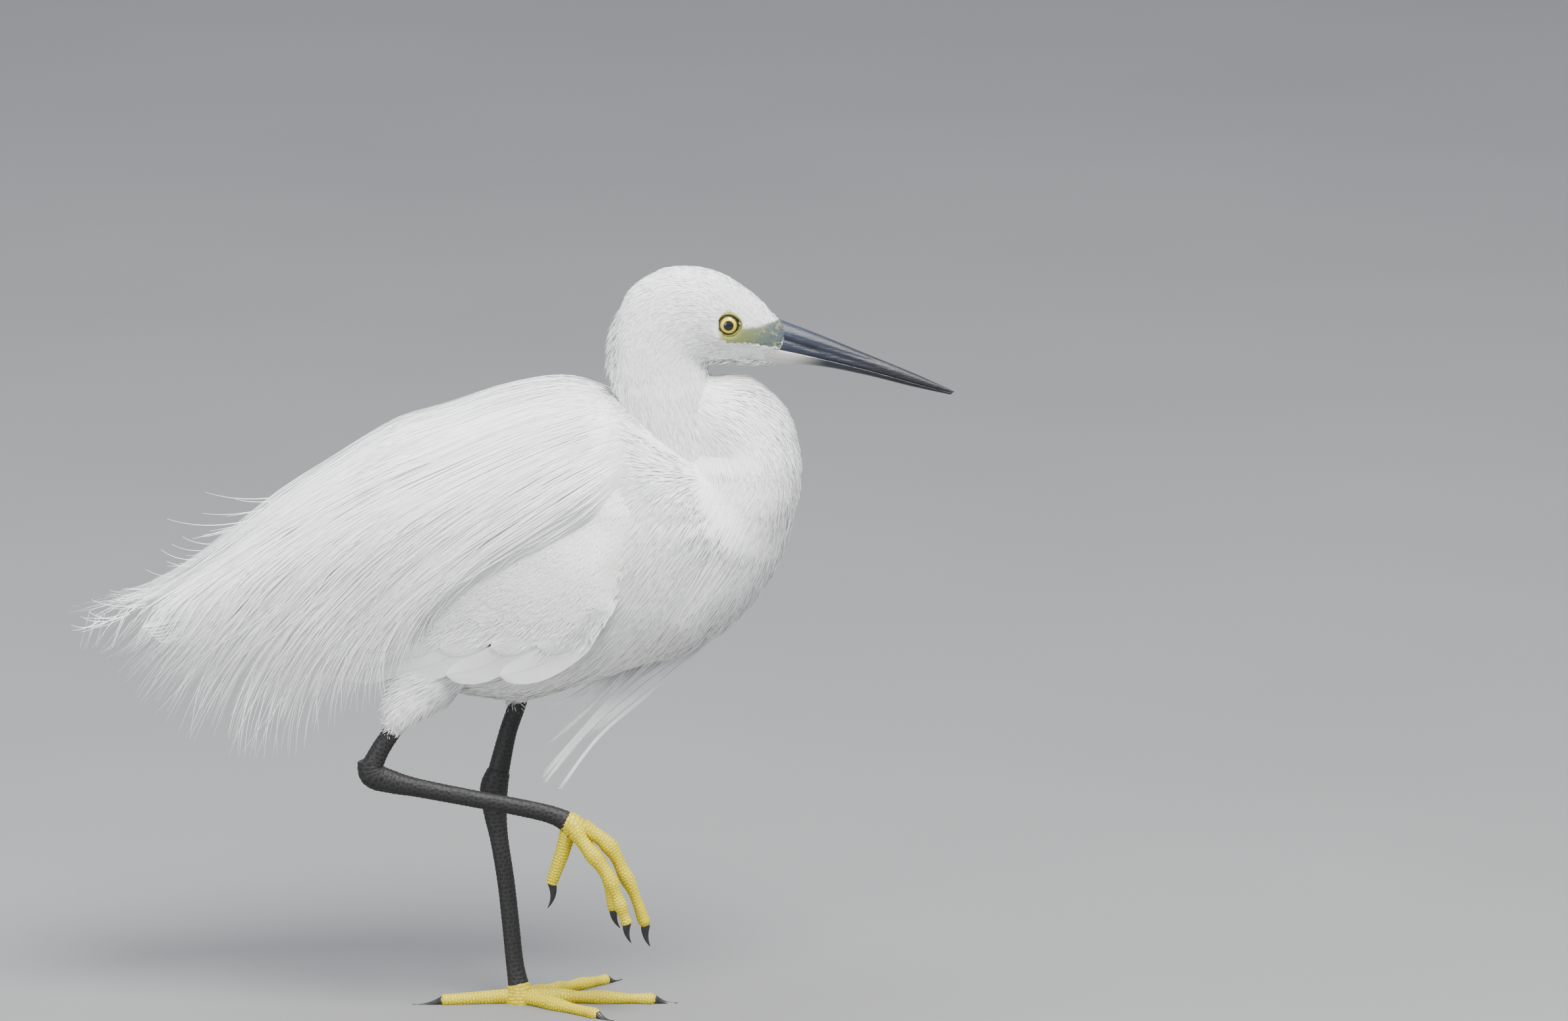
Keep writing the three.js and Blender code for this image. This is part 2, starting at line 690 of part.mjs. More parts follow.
// A limb's sections stand square to its own line, with their width along across.
function limb(rows, across, steps, sides = LIMB_SIDES, grow = 0, floor = false) {
  const last = rows.length - 1;
  const rings = evenly(steps).map((f) => {
    const t = f * last;
    const [x, y, z, depth, width] = through(rows, t);
    const ahead = new THREE.Vector3(...through(rows, Math.min(t + 0.05, last)));
    const behind = new THREE.Vector3(...through(rows, Math.max(t - 0.05, 0)));
    const way = ahead.sub(behind).normalize();
    const side = across.clone().addScaledVector(way, -across.dot(way)).normalize();
    const up = way.clone().cross(side);
    return Array.from({ length: sides }, (_, i) => {
      const angle = (2 * Math.PI * (i + 0.5)) / sides;
      const point = new THREE.Vector3(x, y, z)
        .addScaledVector(side, Math.cos(angle) * (width + grow))
        .addScaledVector(up, Math.sin(angle) * (depth + grow));
      if (floor) point.z = Math.max(point.z, 0);
      return point;
    });
  });
  return loft(rings);
}

// A toe swells at each joint between its bones. Grown, it is also longer by as much.
function toe(line, across, bones, thick, grow, floor) {
  const steps = bones + 4;
  const [before, end] = line.slice(-2).map((place) => new THREE.Vector3(...place));
  const beyond = end.clone().add(end.clone().sub(before).setLength(grow + 1e-6)).toArray();
  const path = [...line.slice(0, -1), beyond];
  const rows = evenly(steps).map((f) => {
    const swell = bones > 1 ? 0.07 * Math.cos(2 * Math.PI * f * bones) : 0;
    const radius = thick * (mix(1.08, 0.72, f) + swell);
    return [...along(path, f), radius, radius];
  });
  return limb(rows, across, steps, 6, grow, floor);
}

// A claw from the end of a toe to its tip, arched above the straight line by lift.
function claw(end, tip, across, thick, lift, floor) {
  const from = new THREE.Vector3(...end);
  const to = new THREE.Vector3(...tip);
  const up = to.clone().sub(from).normalize().cross(across).multiplyScalar(-lift);
  const rows = evenly(3).map((f) => {
    const place = from.clone().lerp(to, f).addScaledVector(up, 4 * f * (1 - f));
    const radius = thick * (1 - f * 0.86);
    return [...place.toArray(), radius, 0.8 * radius];
  });
  return limb(rows, across, 4, 4, 0, floor);
}

// The line of a toe that lies on the floor, and the tip of its claw
function standingToe({ turn, length, thick, claw: clawLength }) {
  const angle = THREE.MathUtils.degToRad(turn);
  const way = new THREE.Vector3(Math.cos(angle), Math.sin(angle), 0);
  const line = [0.04, 0.3, 0.6, 1].map((f) => {
    const height = thick * mix(1.08, 0.72, f) - SOLE_SINK;
    return [way.x * length * f, way.y * length * f, height];
  });
  const tip = way.clone().multiplyScalar(length + clawLength).setZ(0.35);
  return { line, across: new THREE.Vector3(-way.y, way.x, 0), tip: tip.toArray(), lift: 1.4, floor: true };
}

const liftedToe = (name) => ({
  ...LIFTED_TOES[name], across: ACROSS, lift: name === "hind" ? -1.6 : 1, floor: false,
});

// The scene
const SKINS = {
  feather: { color: 0xf4f5f6, roughness: 0.8 },
  horn: { color: 0x23262b, roughness: 0.35 },
  leg: { color: 0x1d1e20, roughness: 0.6 },
  foot: { color: 0xd8bf22, roughness: 0.5 },
  eye: { color: 0xe8d820, roughness: 0.1 },
};
const group = new THREE.Group();

function addNode(name, solid, skin) {
  const mesh = largest(solid).getMesh();
  const geometry = new THREE.BufferGeometry();
  geometry.setAttribute("position", new THREE.BufferAttribute(mesh.vertProperties, 3));
  geometry.setIndex(new THREE.BufferAttribute(mesh.triVerts, 1));
  const node = new THREE.Mesh(geometry, new THREE.MeshStandardMaterial({ ...SKINS[skin], metalness: 0 }));
  node.name = name;
  group.add(node);
}

// Bill, eyes and head
const face = ribbed(HEAD_AND_NECK, 1.5, GAP);
const nostrils = nostril(RIGHT).add(nostril(LEFT));
addNode("bill_upper", mandible(CULMEN, 1).subtract(face).subtract(nostrils), "horn");
addNode("bill_lower", mandible(GONYS, -1).subtract(face), "horn");

const cuts = [NECK_TOP, NECK_FOLD, NECK_ROOT, CROP_ROOT].map(([a, b]) => cut(a, b));
const parted = cuts.reduce((left, slab) => left.subtract(slab), wholeBody(0)).decompose();

// The piece of the parted body that holds a side-view point on the midline
function pieceAt(x, z) {
  const probe = ball(new THREE.Vector3(x, 0, z), 2, 6, 4);
  return parted.find((piece) => piece.intersect(probe).volume() > 1);
}

let head = join([pieceAt(80, 320), ...hackles()]);
for (const [side, sideName] of [[RIGHT, "right"], [LEFT, "left"]]) {
  head = head.add(lid(side)).subtract(ball(eyeCentre(side), EYE_RADIUS + GAP, 12, 8)).subtract(gape(side));
  addNode(`eye_${sideName}`, ball(eyeCentre(side), EYE_RADIUS, 12, 8), "eye");
}
addNode("head", head, "feather");
addNode("neck_upper", pieceAt(65, 285), "feather");
addNode("neck_lower", pieceAt(108, 262), "feather");
addNode("torso", pieceAt(0, 215), "feather");

// Wings, tail and plumes, each kept to its own side of the body
const bodyRoom = wholeBody(GAP);
addNode("tail", tailSolid().subtract(bodyRoom), "feather");
addNode("plumes_breast", breastPlumes().subtract(bodyRoom), "feather");
for (const [side, sideName] of [[RIGHT, "right"], [LEFT, "left"]]) {
  const middle = new THREE.Matrix4().setPosition(0, side * (100 + GAP / 2), 200);
  const half = solidOf(new THREE.BoxGeometry(600, 200, 500), middle);
  addNode(`wing_${sideName}`, wingSolid(side).intersect(half).subtract(bodyRoom), "feather");
  const taken = bodyRoom.add(wingRoom(side));
  addNode(`plumes_back_${sideName}`, plumesSolid(side, taken).intersect(half), "feather");
}

function addLeg(sideName, side) {
  const standing = sideName === "left";
  const tarsus = (grow) => limb(TARSUS[sideName], ACROSS, 12, LIMB_SIDES, grow, standing);
  const thigh = (grow) => limb(THIGH[sideName], ACROSS, 5, 10, grow);
  addNode(`thigh_${sideName}`, thigh(0).subtract(bodyRoom).subtract(wingRoom(side)), "feather");
  const tibia = limb(TIBIA[sideName], ACROSS, 7).subtract(bodyRoom).subtract(thigh(GAP));
  addNode(`tibia_${sideName}`, tibia.subtract(tarsus(GAP)), "leg");
  addNode(`tarsus_${sideName}`, tarsus(0), "leg");
  let taken = tarsus(GAP);
  for (const [name, sizes] of Object.entries(STANDING_TOES)) {
    const { line, across, tip, lift, floor } = standing ? standingToe(sizes) : liftedToe(name);
    const shape = (grow) => toe(line, across, sizes.bones, sizes.thick, grow, floor);
    addNode(`toe_${sideName}_${name}`, shape(0).subtract(taken), "foot");
    taken = taken.add(shape(GAP));
    const nail = claw(line.at(-1), tip, across, sizes.thick * 0.6, lift, floor).subtract(shape(GAP));
    addNode(`claw_${sideName}_${name}`, nail, "horn");
  }
}
addLeg("left", LEFT);
addLeg("right", RIGHT);

export default group;
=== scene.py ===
import math

import bpy
import numpy as np
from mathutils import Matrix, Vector
from mathutils.bvhtree import BVHTree
from mathutils.kdtree import KDTree


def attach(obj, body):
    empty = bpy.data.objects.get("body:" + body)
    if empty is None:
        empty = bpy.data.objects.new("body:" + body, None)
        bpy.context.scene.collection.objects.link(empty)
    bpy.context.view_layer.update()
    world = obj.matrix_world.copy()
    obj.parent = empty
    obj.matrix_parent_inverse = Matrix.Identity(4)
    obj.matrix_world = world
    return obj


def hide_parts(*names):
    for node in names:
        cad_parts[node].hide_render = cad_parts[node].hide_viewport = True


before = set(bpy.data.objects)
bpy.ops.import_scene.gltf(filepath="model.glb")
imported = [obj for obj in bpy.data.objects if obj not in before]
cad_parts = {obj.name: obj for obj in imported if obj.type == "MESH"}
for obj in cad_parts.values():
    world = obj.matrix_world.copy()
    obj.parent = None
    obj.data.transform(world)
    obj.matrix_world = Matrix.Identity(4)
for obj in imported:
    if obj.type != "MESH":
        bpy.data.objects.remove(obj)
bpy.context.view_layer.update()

# A little egret wading to its own front (+X) on its left leg. Sizes are in millimetres until a mesh is made.
# Side-view places are [x, z]; +Y is the bird's left.
MM = 0.001
RIGHT, LEFT = -1, 1
SIDEWAYS = (0, 1, 0)
SEED = 53
draw = np.random.default_rng(SEED)

# Ribs of the body: throat or belly point x, z, crown or back point x, z, half width
HEAD_AND_NECK = [
    [92, 236, 52, 256, 21], [90, 264, 44, 277, 20.5], [88, 283, 41, 290, 19.5], [86.5, 292, 41.3, 302, 18.6],
    [86, 294, 44, 316, 18], [86.3, 294.2, 52, 330.6, 17.4], [87, 294.5, 66, 338.8, 16.8],
    [90, 294.6, 80, 340, 16], [94, 294.6, 92, 337, 14.2], [99, 294.4, 102, 331, 12.2],
    [105, 294, 110, 324.5, 9.8], [112, 294.6, 116, 317.2, 7.6], [118, 295, 119, 314, 6.4],
]
CROP = [
    [68, 262, 84, 290.5, 13], [75, 253, 102, 289, 20], [76, 243, 119, 276, 24.5],
    [74, 233, 127, 254, 30], [69, 223, 125.5, 231, 32], [60, 212, 110, 208, 28],
]
TORSO = [
    [119, 214, 88, 247, 31], [113, 198.5, 70, 262, 36], [99, 181.5, 52, 277, 38], [80, 165, 38, 284.5, 38.5],
    [55, 152, 22, 287, 38.5], [30, 144, 5, 285, 38], [5, 141, -15, 279.5, 37], [-20, 142.5, -37, 270, 34.5],
    [-45, 148, -60, 258, 30], [-68, 157, -80, 245, 24], [-88, 167, -95, 229, 17], [-103, 177, -106, 210, 10],
    [-110, 186, -111, 198, 5],
]
# The surface that wings and plumes lie on: the torso's flanks, carried on over the tail
WRAP = TORSO[:9] + [
    [-69, 156, -80, 245, 26], [-94, 160, -104, 229, 23], [-119, 163, -126, 211, 20],
    [-143, 165, -147, 194, 17], [-168, 167, -170, 181, 13], [-200, 168, -201, 172, 8],
]
BREAST = [
    [113, 207, 98, 216, 20], [105, 190, 88, 205, 24], [98, 175, 78, 195, 25], [89, 164, 66, 185, 24],
]
# Thighs, tibiae and tarsi: x, y, z, half depth, half width
THIGH = {
    LEFT: [[14, 15, 172, 20, 15], [7, 15, 156, 15, 12], [2, 14.4, 145, 9, 8], [0, 14, 138.5, 5.4, 4.9]],
    RIGHT: [[-30, -18, 174, 20, 10], [-39, -20.5, 157, 16, 9.5], [-49, -23, 143.5, 9.5, 8],
            [-54, -24, 135, 5.4, 4.9]],
}
TIBIA = {
    LEFT: [[2, 14.5, 160, 6, 5], [0, 14, 138, 4.2, 3.7], [-5, 12, 122, 4, 3.5], [-10, 9, 101, 5, 4.2]],
    RIGHT: [[-44, -23, 155, 6, 5], [-55, -24, 133.5, 4.2, 3.7], [-61, -24.7, 124, 4.2, 3.7],
            [-65, -25, 116, 4.8, 4.2]],
}
TARSUS = {
    LEFT: [
        [-9, 9.3, 105, 5.2, 4.4], [-11.2, 8.2, 97, 6.3, 4.9], [-10.6, 7, 86, 5.2, 4],
        [-8.8, 5.6, 74, 4.1, 3.3], [-6, 3.8, 56, 3.9, 3.1], [-4, 2.2, 38, 3.9, 3.1],
        [-2, 0.8, 18, 4, 3.2], [-0.2, 0, 7, 4.9, 4.6], [0, 0, 3, 6, 5.6], [0, 0, 0, 6.2, 5.8],
    ],
    RIGHT: [
        [-66.5, -25, 119, 5, 4.3], [-64.5, -25, 112, 6, 4.9], [-56, -25, 108.6, 5.2, 4.2],
        [-44, -25, 105.8, 4.2, 3.4], [-20, -25, 101, 3.9, 3.1], [2, -24.6, 96.6, 3.9, 3.1],
        [16, -24.2, 93, 4.1, 3.4], [24, -24, 88.6, 4.9, 4.6], [26, -24, 84.5, 4.6, 5],
    ],
}
# Toes: thickness and bones; on the floor, direction in plan in degrees, length and claw length
TOES = {
    "middle": {"thick": 3.5, "bones": 3, "turn": -2, "length": 62, "claw": 9.5},
    "hind": {"thick": 3.4, "bones": 1, "turn": 186, "length": 36, "claw": 12.5},
    "inner": {"thick": 3.3, "bones": 2, "turn": -38, "length": 46, "claw": 9},
    "outer": {"thick": 3.3, "bones": 4, "turn": 40, "length": 52, "claw": 8},
}
LIFTED_TOES = {
    "middle": ([[29, -24, 87.5], [37.3, -24.2, 82.4], [42.8, -24.4, 76.4], [47.6, -24.6, 66.5],
                [52, -24.8, 57.4], [57.6, -25, 41.5]], [59.4, -25.2, 32.5]),
    "hind": ([[22.6, -23.6, 85.5], [20.2, -23.2, 76], [16.9, -22.6, 66.5], [14.9, -22.2, 60.5]],
             [13.3, -22, 49.5]),
    "inner": ([[26, -20.5, 85.5], [32.6, -18.2, 75.6], [39.4, -16.6, 63.5], [43.2, -15.6, 46.5]],
              [45.8, -15.4, 38.5]),
    "outer": ([[25.8, -27.6, 86.4], [32.4, -29.8, 77.8], [40, -31.6, 68.3], [44, -32.6, 59.4],
               [46.9, -33.2, 51.5], [49.3, -33.6, 44.6]], [51, -34, 36.5]),
}
# How far the standing toes' lines lie below their own radius, so that the soles press flat
SOLE_SINK = 0.8

# The bill in the side view: the gape, the upper and the lower edge, and half the width
MOUTH = [[110, 304], [130, 299.6], [155, 293.2], [178, 286.4], [194.6, 281.4]]
CULMEN = [[117, 315.2], [135, 308.2], [156, 299.4], [178, 290.2], [195.6, 282.1]]
GONYS = [[112, 295.2], [134, 294.2], [155, 290.2], [177, 284.6], [193.8, 280.9]]
BILL_WIDTH = [[5.9], [4.7], [3.4], [2.2], [0.5]]
EYE_RADIUS = 5.2
EYE_PLACE = [94.8, 9.3, 315.2]


# Curves and numbers
def mix(a, b, f):
    return a + (b - a) * f


def smooth_step(a, b, v):
    f = np.clip((np.asarray(v, float) - a) / (b - a), 0, 1)
    return f * f * (3 - 2 * f)


def through(rows, t):
    """A smooth curve through rows of numbers, where t runs from 0 to the last row's index."""
    rows = np.asarray(rows, float)
    last = len(rows) - 1
    t = np.asarray(t, float)
    i = np.clip(np.floor(t).astype(int), 0, last - 1)
    f = (t - i)[..., None]
    a, b, c, d = (rows[np.clip(i + k, 0, last)] for k in (-1, 0, 1, 2))
    rise, after, step = (c - a) / 2, (d - b) / 2, c - b
    return b + f * (rise + f * (3 * step - 2 * rise - after + f * (rise + after - 2 * step)))


def along(rows, f):
    return through(rows, np.asarray(f, float) * (len(rows) - 1))


def unit(v):
    return v / np.maximum(np.linalg.norm(v, axis=-1, keepdims=True), 1e-9)


def xyz(x, y, z):
    return np.stack(np.broadcast_arrays(x, y, z), axis=-1).astype(float)


# The body's ribs
def rib_at(ribs, t):
    """Middle [x, z], direction up [x, z], half height and half width of the rib at t."""
    rows = through(ribs, t)
    low, high, w = rows[..., 0:2], rows[..., 2:4], rows[..., 4]
    span = high - low
    length = np.linalg.norm(span, axis=-1)
    return (low + high) / 2, span / length[..., None], length / 2, w


def above(middle, up, rise, y):
    """The point that lies a rise up from a rib's middle and y to the bird's left."""
    return xyz(middle[..., 0] + up[..., 0] * rise, y, middle[..., 1] + up[..., 1] * rise)


def rib_point(ribs, t, angle, grow):
    """The point at t along ribs and an angle round them: 0 at the bird's left, a quarter turn at the back."""
    middle, up, h, w = rib_at(ribs, t)
    return above(middle, up, (h + grow) * np.sin(angle), (w + grow) * np.cos(angle))


# Meshes
def piece(name, points, faces, material, uv=None, attributes=(), replaces=(), normals=None):
    """A mesh object on the bird. faces is a list of index arrays, each with faces of one size."""
    mesh = bpy.data.meshes.new(name)
    points = np.asarray(points, np.float32).reshape(-1, 3) * MM
    mesh.vertices.add(len(points))
    mesh.vertices.foreach_set("co", points.ravel())
    loops = np.concatenate([np.asarray(f).ravel() for f in faces]).astype(np.int32)
    totals = np.concatenate([np.full(len(f), np.asarray(f).shape[1]) for f in faces])
    starts = np.concatenate([[0], np.cumsum(totals)[:-1]]).astype(np.int32)
    mesh.loops.add(len(loops))
    mesh.loops.foreach_set("vertex_index", loops)
    mesh.polygons.add(len(totals))
    mesh.polygons.foreach_set("loop_start", starts)
    mesh.update(calc_edges=True)
    mesh.polygons.foreach_set("use_smooth", np.ones(len(totals), bool))
    if uv is not None:
        layer = mesh.uv_layers.new(name="OFBake")
        layer.data.foreach_set("uv", np.asarray(uv, np.float32).reshape(-1, 2)[loops].ravel())
    for key, values in attributes:
        layer = mesh.attributes.new(key, "FLOAT", "POINT")
        layer.data.foreach_set("value", np.asarray(values, np.float32).ravel())
    mesh.validate()
    if normals is not None:
        mesh.normals_split_custom_set_from_vertices(np.asarray(normals, np.float32).reshape(-1, 3))
    made = bpy.data.objects.new(name, mesh)
    bpy.context.scene.collection.objects.link(made)
    made.data.materials.append(material)
    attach(made, "root")
    if replaces:
        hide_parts(*replaces)


def grid_quads(index):
    """The quads of one or more grids of vertex numbers."""
    corners = [index[..., :-1, :-1], index[..., :-1, 1:], index[..., 1:, 1:], index[..., 1:, :-1]]
    return np.stack(corners, axis=-1).reshape(-1, 4)


def tube_faces(rings, sides):
    """The faces of a closed tube of rings, with a fan of triangles over each end."""
    index = np.arange(rings * sides).reshape(rings, sides)
    quads = grid_quads(np.pad(index, ((0, 0), (0, 1)), mode="wrap"))
    ends = []
    for ring, flip in ((index[0], True), (index[-1], False)):
        fan = np.stack([np.full(sides - 2, ring[0]), ring[1:-1], ring[2:]], axis=-1)
        ends.append(fan[:, ::-1] if flip else fan)
    return quads, np.concatenate(ends)


def limb(rows, across, stations, sides, grow=0.0):
    """Points of rings square to a line of rows [x, y, z, half depth, half width], with directions out."""
    last = len(rows) - 1
    t = np.linspace(0, last, stations)
    row = through(rows, t)
    ahead, behind = np.minimum(t + 0.05, last), np.maximum(t - 0.05, 0)
    way = unit(through(rows, ahead)[:, :3] - through(rows, behind)[:, :3])
    across = np.asarray(across, float)
    side = unit(across - way * (way @ across)[:, None])
    up = np.cross(way, side)
    angle = 2 * np.pi * (np.arange(sides) + 0.5) / sides
    out = side[:, None] * np.cos(angle)[None, :, None] * (row[:, None, 4:5] + grow)
    out = out + up[:, None] * np.sin(angle)[None, :, None] * (row[:, None, 3:4] + grow)
    return row[:, None, :3] + out, unit(out), angle


# Materials
def material(name, roughness, **sockets):
    made = bpy.data.materials.new(name)
    made.use_nodes = True
    shader = made.node_tree.nodes["Principled BSDF"]
    shader.inputs["Roughness"].default_value = roughness
    for key, value in sockets.items():
        shader.inputs[key.replace("_", " ")].default_value = value
    return made, made.node_tree, shader


def node(tree, kind, **settings):
    made = tree.nodes.new(kind)
    for key, value in settings.items():
        if key in made.inputs:
            made.inputs[key].default_value = value
        else:
            setattr(made, key, value)
    return made


def ramp(tree, source, stops):
    made = tree.nodes.new("ShaderNodeValToRGB")
    while len(made.color_ramp.elements) < len(stops):
        made.color_ramp.elements.new(0.5)
    for element, (place, colour) in zip(made.color_ramp.elements, stops):
        element.position = place
        element.color = (*colour, 1)
    tree.links.new(source, made.inputs["Fac"])
    return made.outputs["Color"]


def object_coordinates(tree, scale=(1, 1, 1), turn=(0, 0, 0)):
    place = tree.nodes.new("ShaderNodeTexCoord")
    mapping = tree.nodes.new("ShaderNodeMapping")
    mapping.inputs["Scale"].default_value = scale
    mapping.inputs["Rotation"].default_value = turn
    tree.links.new(place.outputs["Object"], mapping.inputs["Vector"])
    return mapping.outputs["Vector"]


def noise(tree, vector, scale, detail, rough=0.5):
    made = node(tree, "ShaderNodeTexNoise", Scale=scale, Detail=detail, Roughness=rough)
    tree.links.new(vector, made.inputs["Vector"])
    return made.outputs["Fac"]


def bump(tree, shader, height, strength, distance):
    made = node(tree, "ShaderNodeBump", Strength=strength, Distance=distance)
    tree.links.new(height, made.inputs["Height"])
    tree.links.new(made.outputs["Normal"], shader.inputs["Normal"])


def mask(tree, source, low, high, most=1.0):
    """A factor that goes from 0 to most as the source goes from low to high."""
    return ramp(tree, source, [(low, (0.0, 0.0, 0.0)), (high, (most, most, most))])


def feed(tree, socket, value):
    """Gives a socket a fixed number or colour, or links it to another socket."""
    if isinstance(value, float):
        socket.default_value = value
    elif isinstance(value, tuple):
        socket.default_value = (*value, 1)
    else:
        tree.links.new(value, socket)


def calculated(tree, operation, *values):
    """The result of a math node, from sockets and fixed numbers."""
    made = node(tree, "ShaderNodeMath", operation=operation)
    for socket, value in zip(made.inputs, values):
        feed(tree, socket, value)
    return made.outputs[0]


def mixed(tree, factor, a, b, blend="MIX"):
    """The colour between a and b; each may be a socket or a fixed value, and so may the factor."""
    made = tree.nodes.new("ShaderNodeMix")
    made.data_type = "RGBA"
    made.blend_type = blend
    sockets = {(s.name, s.type): s for s in made.inputs}
    feed(tree, sockets["A", "RGBA"], a)
    feed(tree, sockets["B", "RGBA"], b)
    feed(tree, sockets["Factor", "VALUE"], factor)
    return [s for s in made.outputs if s.type == "RGBA"][0]


def attribute(tree, key):
    return node(tree, "ShaderNodeAttribute", attribute_name=key).outputs["Fac"]


def share_along_x(tree, place, start, end):
    """0 to 1 as x goes from start to end, in metres."""
    split = tree.nodes.new("ShaderNodeSeparateXYZ")
    tree.links.new(place, split.inputs[0])
    run = tree.nodes.new("ShaderNodeMapRange")
    run.inputs["From Min"].default_value = start
    run.inputs["From Max"].default_value = end
    tree.links.new(split.outputs["X"], run.inputs["Value"])
    return run.outputs[0]


WHITE = (0.93, 0.935, 0.93)
SHADE = (0.86, 0.855, 0.84)


def feather_material(name, low=SHADE, high=WHITE):
    """White barbs, each tuft with its own tone, a little warmer where the noise is low."""
    made, tree, shader = material(name, 0.62, Sheen_Weight=0.25, Sheen_Roughness=0.4, Specular_IOR_Level=0.3)
    tone = ramp(tree, attribute(tree, "tone"), [(0.0, low), (0.45, high), (1.0, (0.97, 0.975, 0.98))])
    patches = noise(tree, object_coordinates(tree), 35, 4)
    faded = ramp(tree, patches, [(0.35, (0.93, 0.925, 0.91)), (0.65, (1.0, 1.0, 1.0))])
    tree.links.new(mixed(tree, 1.0, tone, faded, "MULTIPLY"), shader.inputs["Base Color"])
    return made


FEATHER = feather_material("feather_barbs")
PLUME = feather_material("plume_barbs", (0.84, 0.83, 0.79), (0.95, 0.95, 0.94))


def skin_material():
    """White down over most of the skin; bare, grained, green to slate skin before the eye."""
    made, tree, shader = material("skin_down", 0.7)
    place = object_coordinates(tree)
    soft = noise(tree, place, 900, 4, 0.6)
    down = ramp(tree, soft, [(0.3, (0.88, 0.875, 0.865)), (0.7, (0.94, 0.94, 0.94))])
    lore = ramp(tree, share_along_x(tree, place, 0.094, 0.122), [
        (0.0, (0.26, 0.28, 0.02)), (0.28, (0.17, 0.20, 0.04)), (0.52, (0.085, 0.12, 0.085)),
        (0.78, (0.035, 0.05, 0.07)), (1.0, (0.016, 0.022, 0.036)),
    ])
    grain = noise(tree, place, 1300, 3, 0.6)
    spots = mask(tree, noise(tree, place, 420, 2), 0.56, 0.66)
    spotted = mixed(tree, spots, lore, (0.24, 0.24, 0.05))
    grained = mixed(tree, mask(tree, grain, 0.35, 0.7, 0.6), spotted, (0.15, 0.18, 0.15))
    bare = attribute(tree, "bare")
    tree.links.new(mixed(tree, bare, down, grained), shader.inputs["Base Color"])
    bump(tree, shader, grain, 0.5, 0.0004)
    return made


def horn_material():
    """Slate to black horn with paler bluish streaks along its length, paler at the root of the lower
    mandible, with painted shade near black along the nostril slit and the groove before it.
    """
    made, tree, shader = material("bill_horn", 0.36, Coat_Weight=0.1, Coat_Roughness=0.3)
    place = object_coordinates(tree)
    long_way = object_coordinates(tree, (120, 1500, 1500), (0, math.radians(-20), 0))
    streak = noise(tree, long_way, 1.0, 5, 0.65)
    base = ramp(tree, share_along_x(tree, place, 0.112, 0.196), [
        (0.0, (0.022, 0.030, 0.052)), (0.25, (0.012, 0.016, 0.030)), (0.6, (0.006, 0.007, 0.010)),
        (1.0, (0.004, 0.004, 0.005)),
    ])
    streaked = mixed(tree, mask(tree, streak, 0.52, 0.72, 0.5), base, (0.05, 0.062, 0.092))
    pale = mixed(tree, attribute(tree, "pale"), streaked, (0.46, 0.45, 0.42))
    # Painted shade: the nostril slit and the groove in front of it are coloured near black, as their recess
    # lies in shade
    with_groove_shade = mixed(tree, attribute(tree, "groove_shade"), pale, (0.003, 0.003, 0.004))
    tree.links.new(with_groove_shade, shader.inputs["Base Color"])
    bump(tree, shader, streak, 0.45, 0.0005)
    return made


def leg_material():
    """Matte black scales with paler edges, attribute edge being 1 between scales."""
    made, tree, shader = material("leg_scales", 0.55, Specular_IOR_Level=0.35)
    place = object_coordinates(tree)
    worn = noise(tree, place, 260, 4, 0.6)
    base = ramp(tree, worn, [(0.3, (0.005, 0.005, 0.0055)), (0.7, (0.014, 0.0135, 0.014))])
    edge = attribute(tree, "edge")
    tree.links.new(mixed(tree, edge, base, (0.024, 0.023, 0.022)), shader.inputs["Base Color"])
    bump(tree, shader, noise(tree, place, 1600, 3, 0.6), 0.4, 0.0003)
    return made


def foot_material():
    """Lemon yellow skin with olive and ochre in the folds."""
    made, tree, shader = material("foot_skin", 0.5, Subsurface_Weight=0.08,
                                  Subsurface_Radius=(0.002, 0.0012, 0.0004))
    place = object_coordinates(tree)
    patches = noise(tree, place, 150, 4, 0.6)
    base = ramp(tree, patches, [(0.3, (0.60, 0.46, 0.0)), (0.5, (0.76, 0.62, 0.0)), (0.7, (0.82, 0.71, 0.0))])
    edge = attribute(tree, "edge")
    tree.links.new(mixed(tree, edge, base, (0.36, 0.28, 0.0)), shader.inputs["Base Color"])
    bump(tree, shader, noise(tree, place, 1900, 3, 0.6), 0.5, 0.0003)
    return made


def claw_material():
    made, tree, shader = material("claw_horn", 0.35, Coat_Weight=0.2)
    streak = noise(tree, object_coordinates(tree, (1, 1, 0.3)), 900, 4)
    tree.links.new(ramp(tree, streak, [(0.3, (0.005, 0.005, 0.005)), (0.75, (0.022, 0.021, 0.02))]),
                   shader.inputs["Base Color"])
    return made


def eye_material():
    """Black pupil, gold ring, yellow iris and dark rim, by distance from the eye's axis."""
    made, tree, shader = material("eye_surface", 0.2, Coat_Weight=0.35, Coat_Roughness=0.02)
    rays = noise(tree, object_coordinates(tree), 1400, 3)
    radius = attribute(tree, "iris")
    tone = ramp(tree, radius, [
        (0.0, (0.003, 0.003, 0.003)), (0.46, (0.003, 0.003, 0.003)), (0.49, (0.42, 0.28, 0.0)),
        (0.54, (0.72, 0.54, 0.0)), (0.72, (0.68, 0.56, 0.0)), (0.76, (0.36, 0.28, 0.0)),
        (0.79, (0.006, 0.006, 0.005)), (1.0, (0.006, 0.006, 0.006)),
    ])
    veins = mixed(tree, mask(tree, rays, 0.45, 0.8, 0.35), tone, (0.26, 0.18, 0.0))
    iris = mask(tree, radius, 0.46, 0.48)
    tree.links.new(mixed(tree, iris, (0.004, 0.004, 0.004), veins), shader.inputs["Base Color"])
    return made


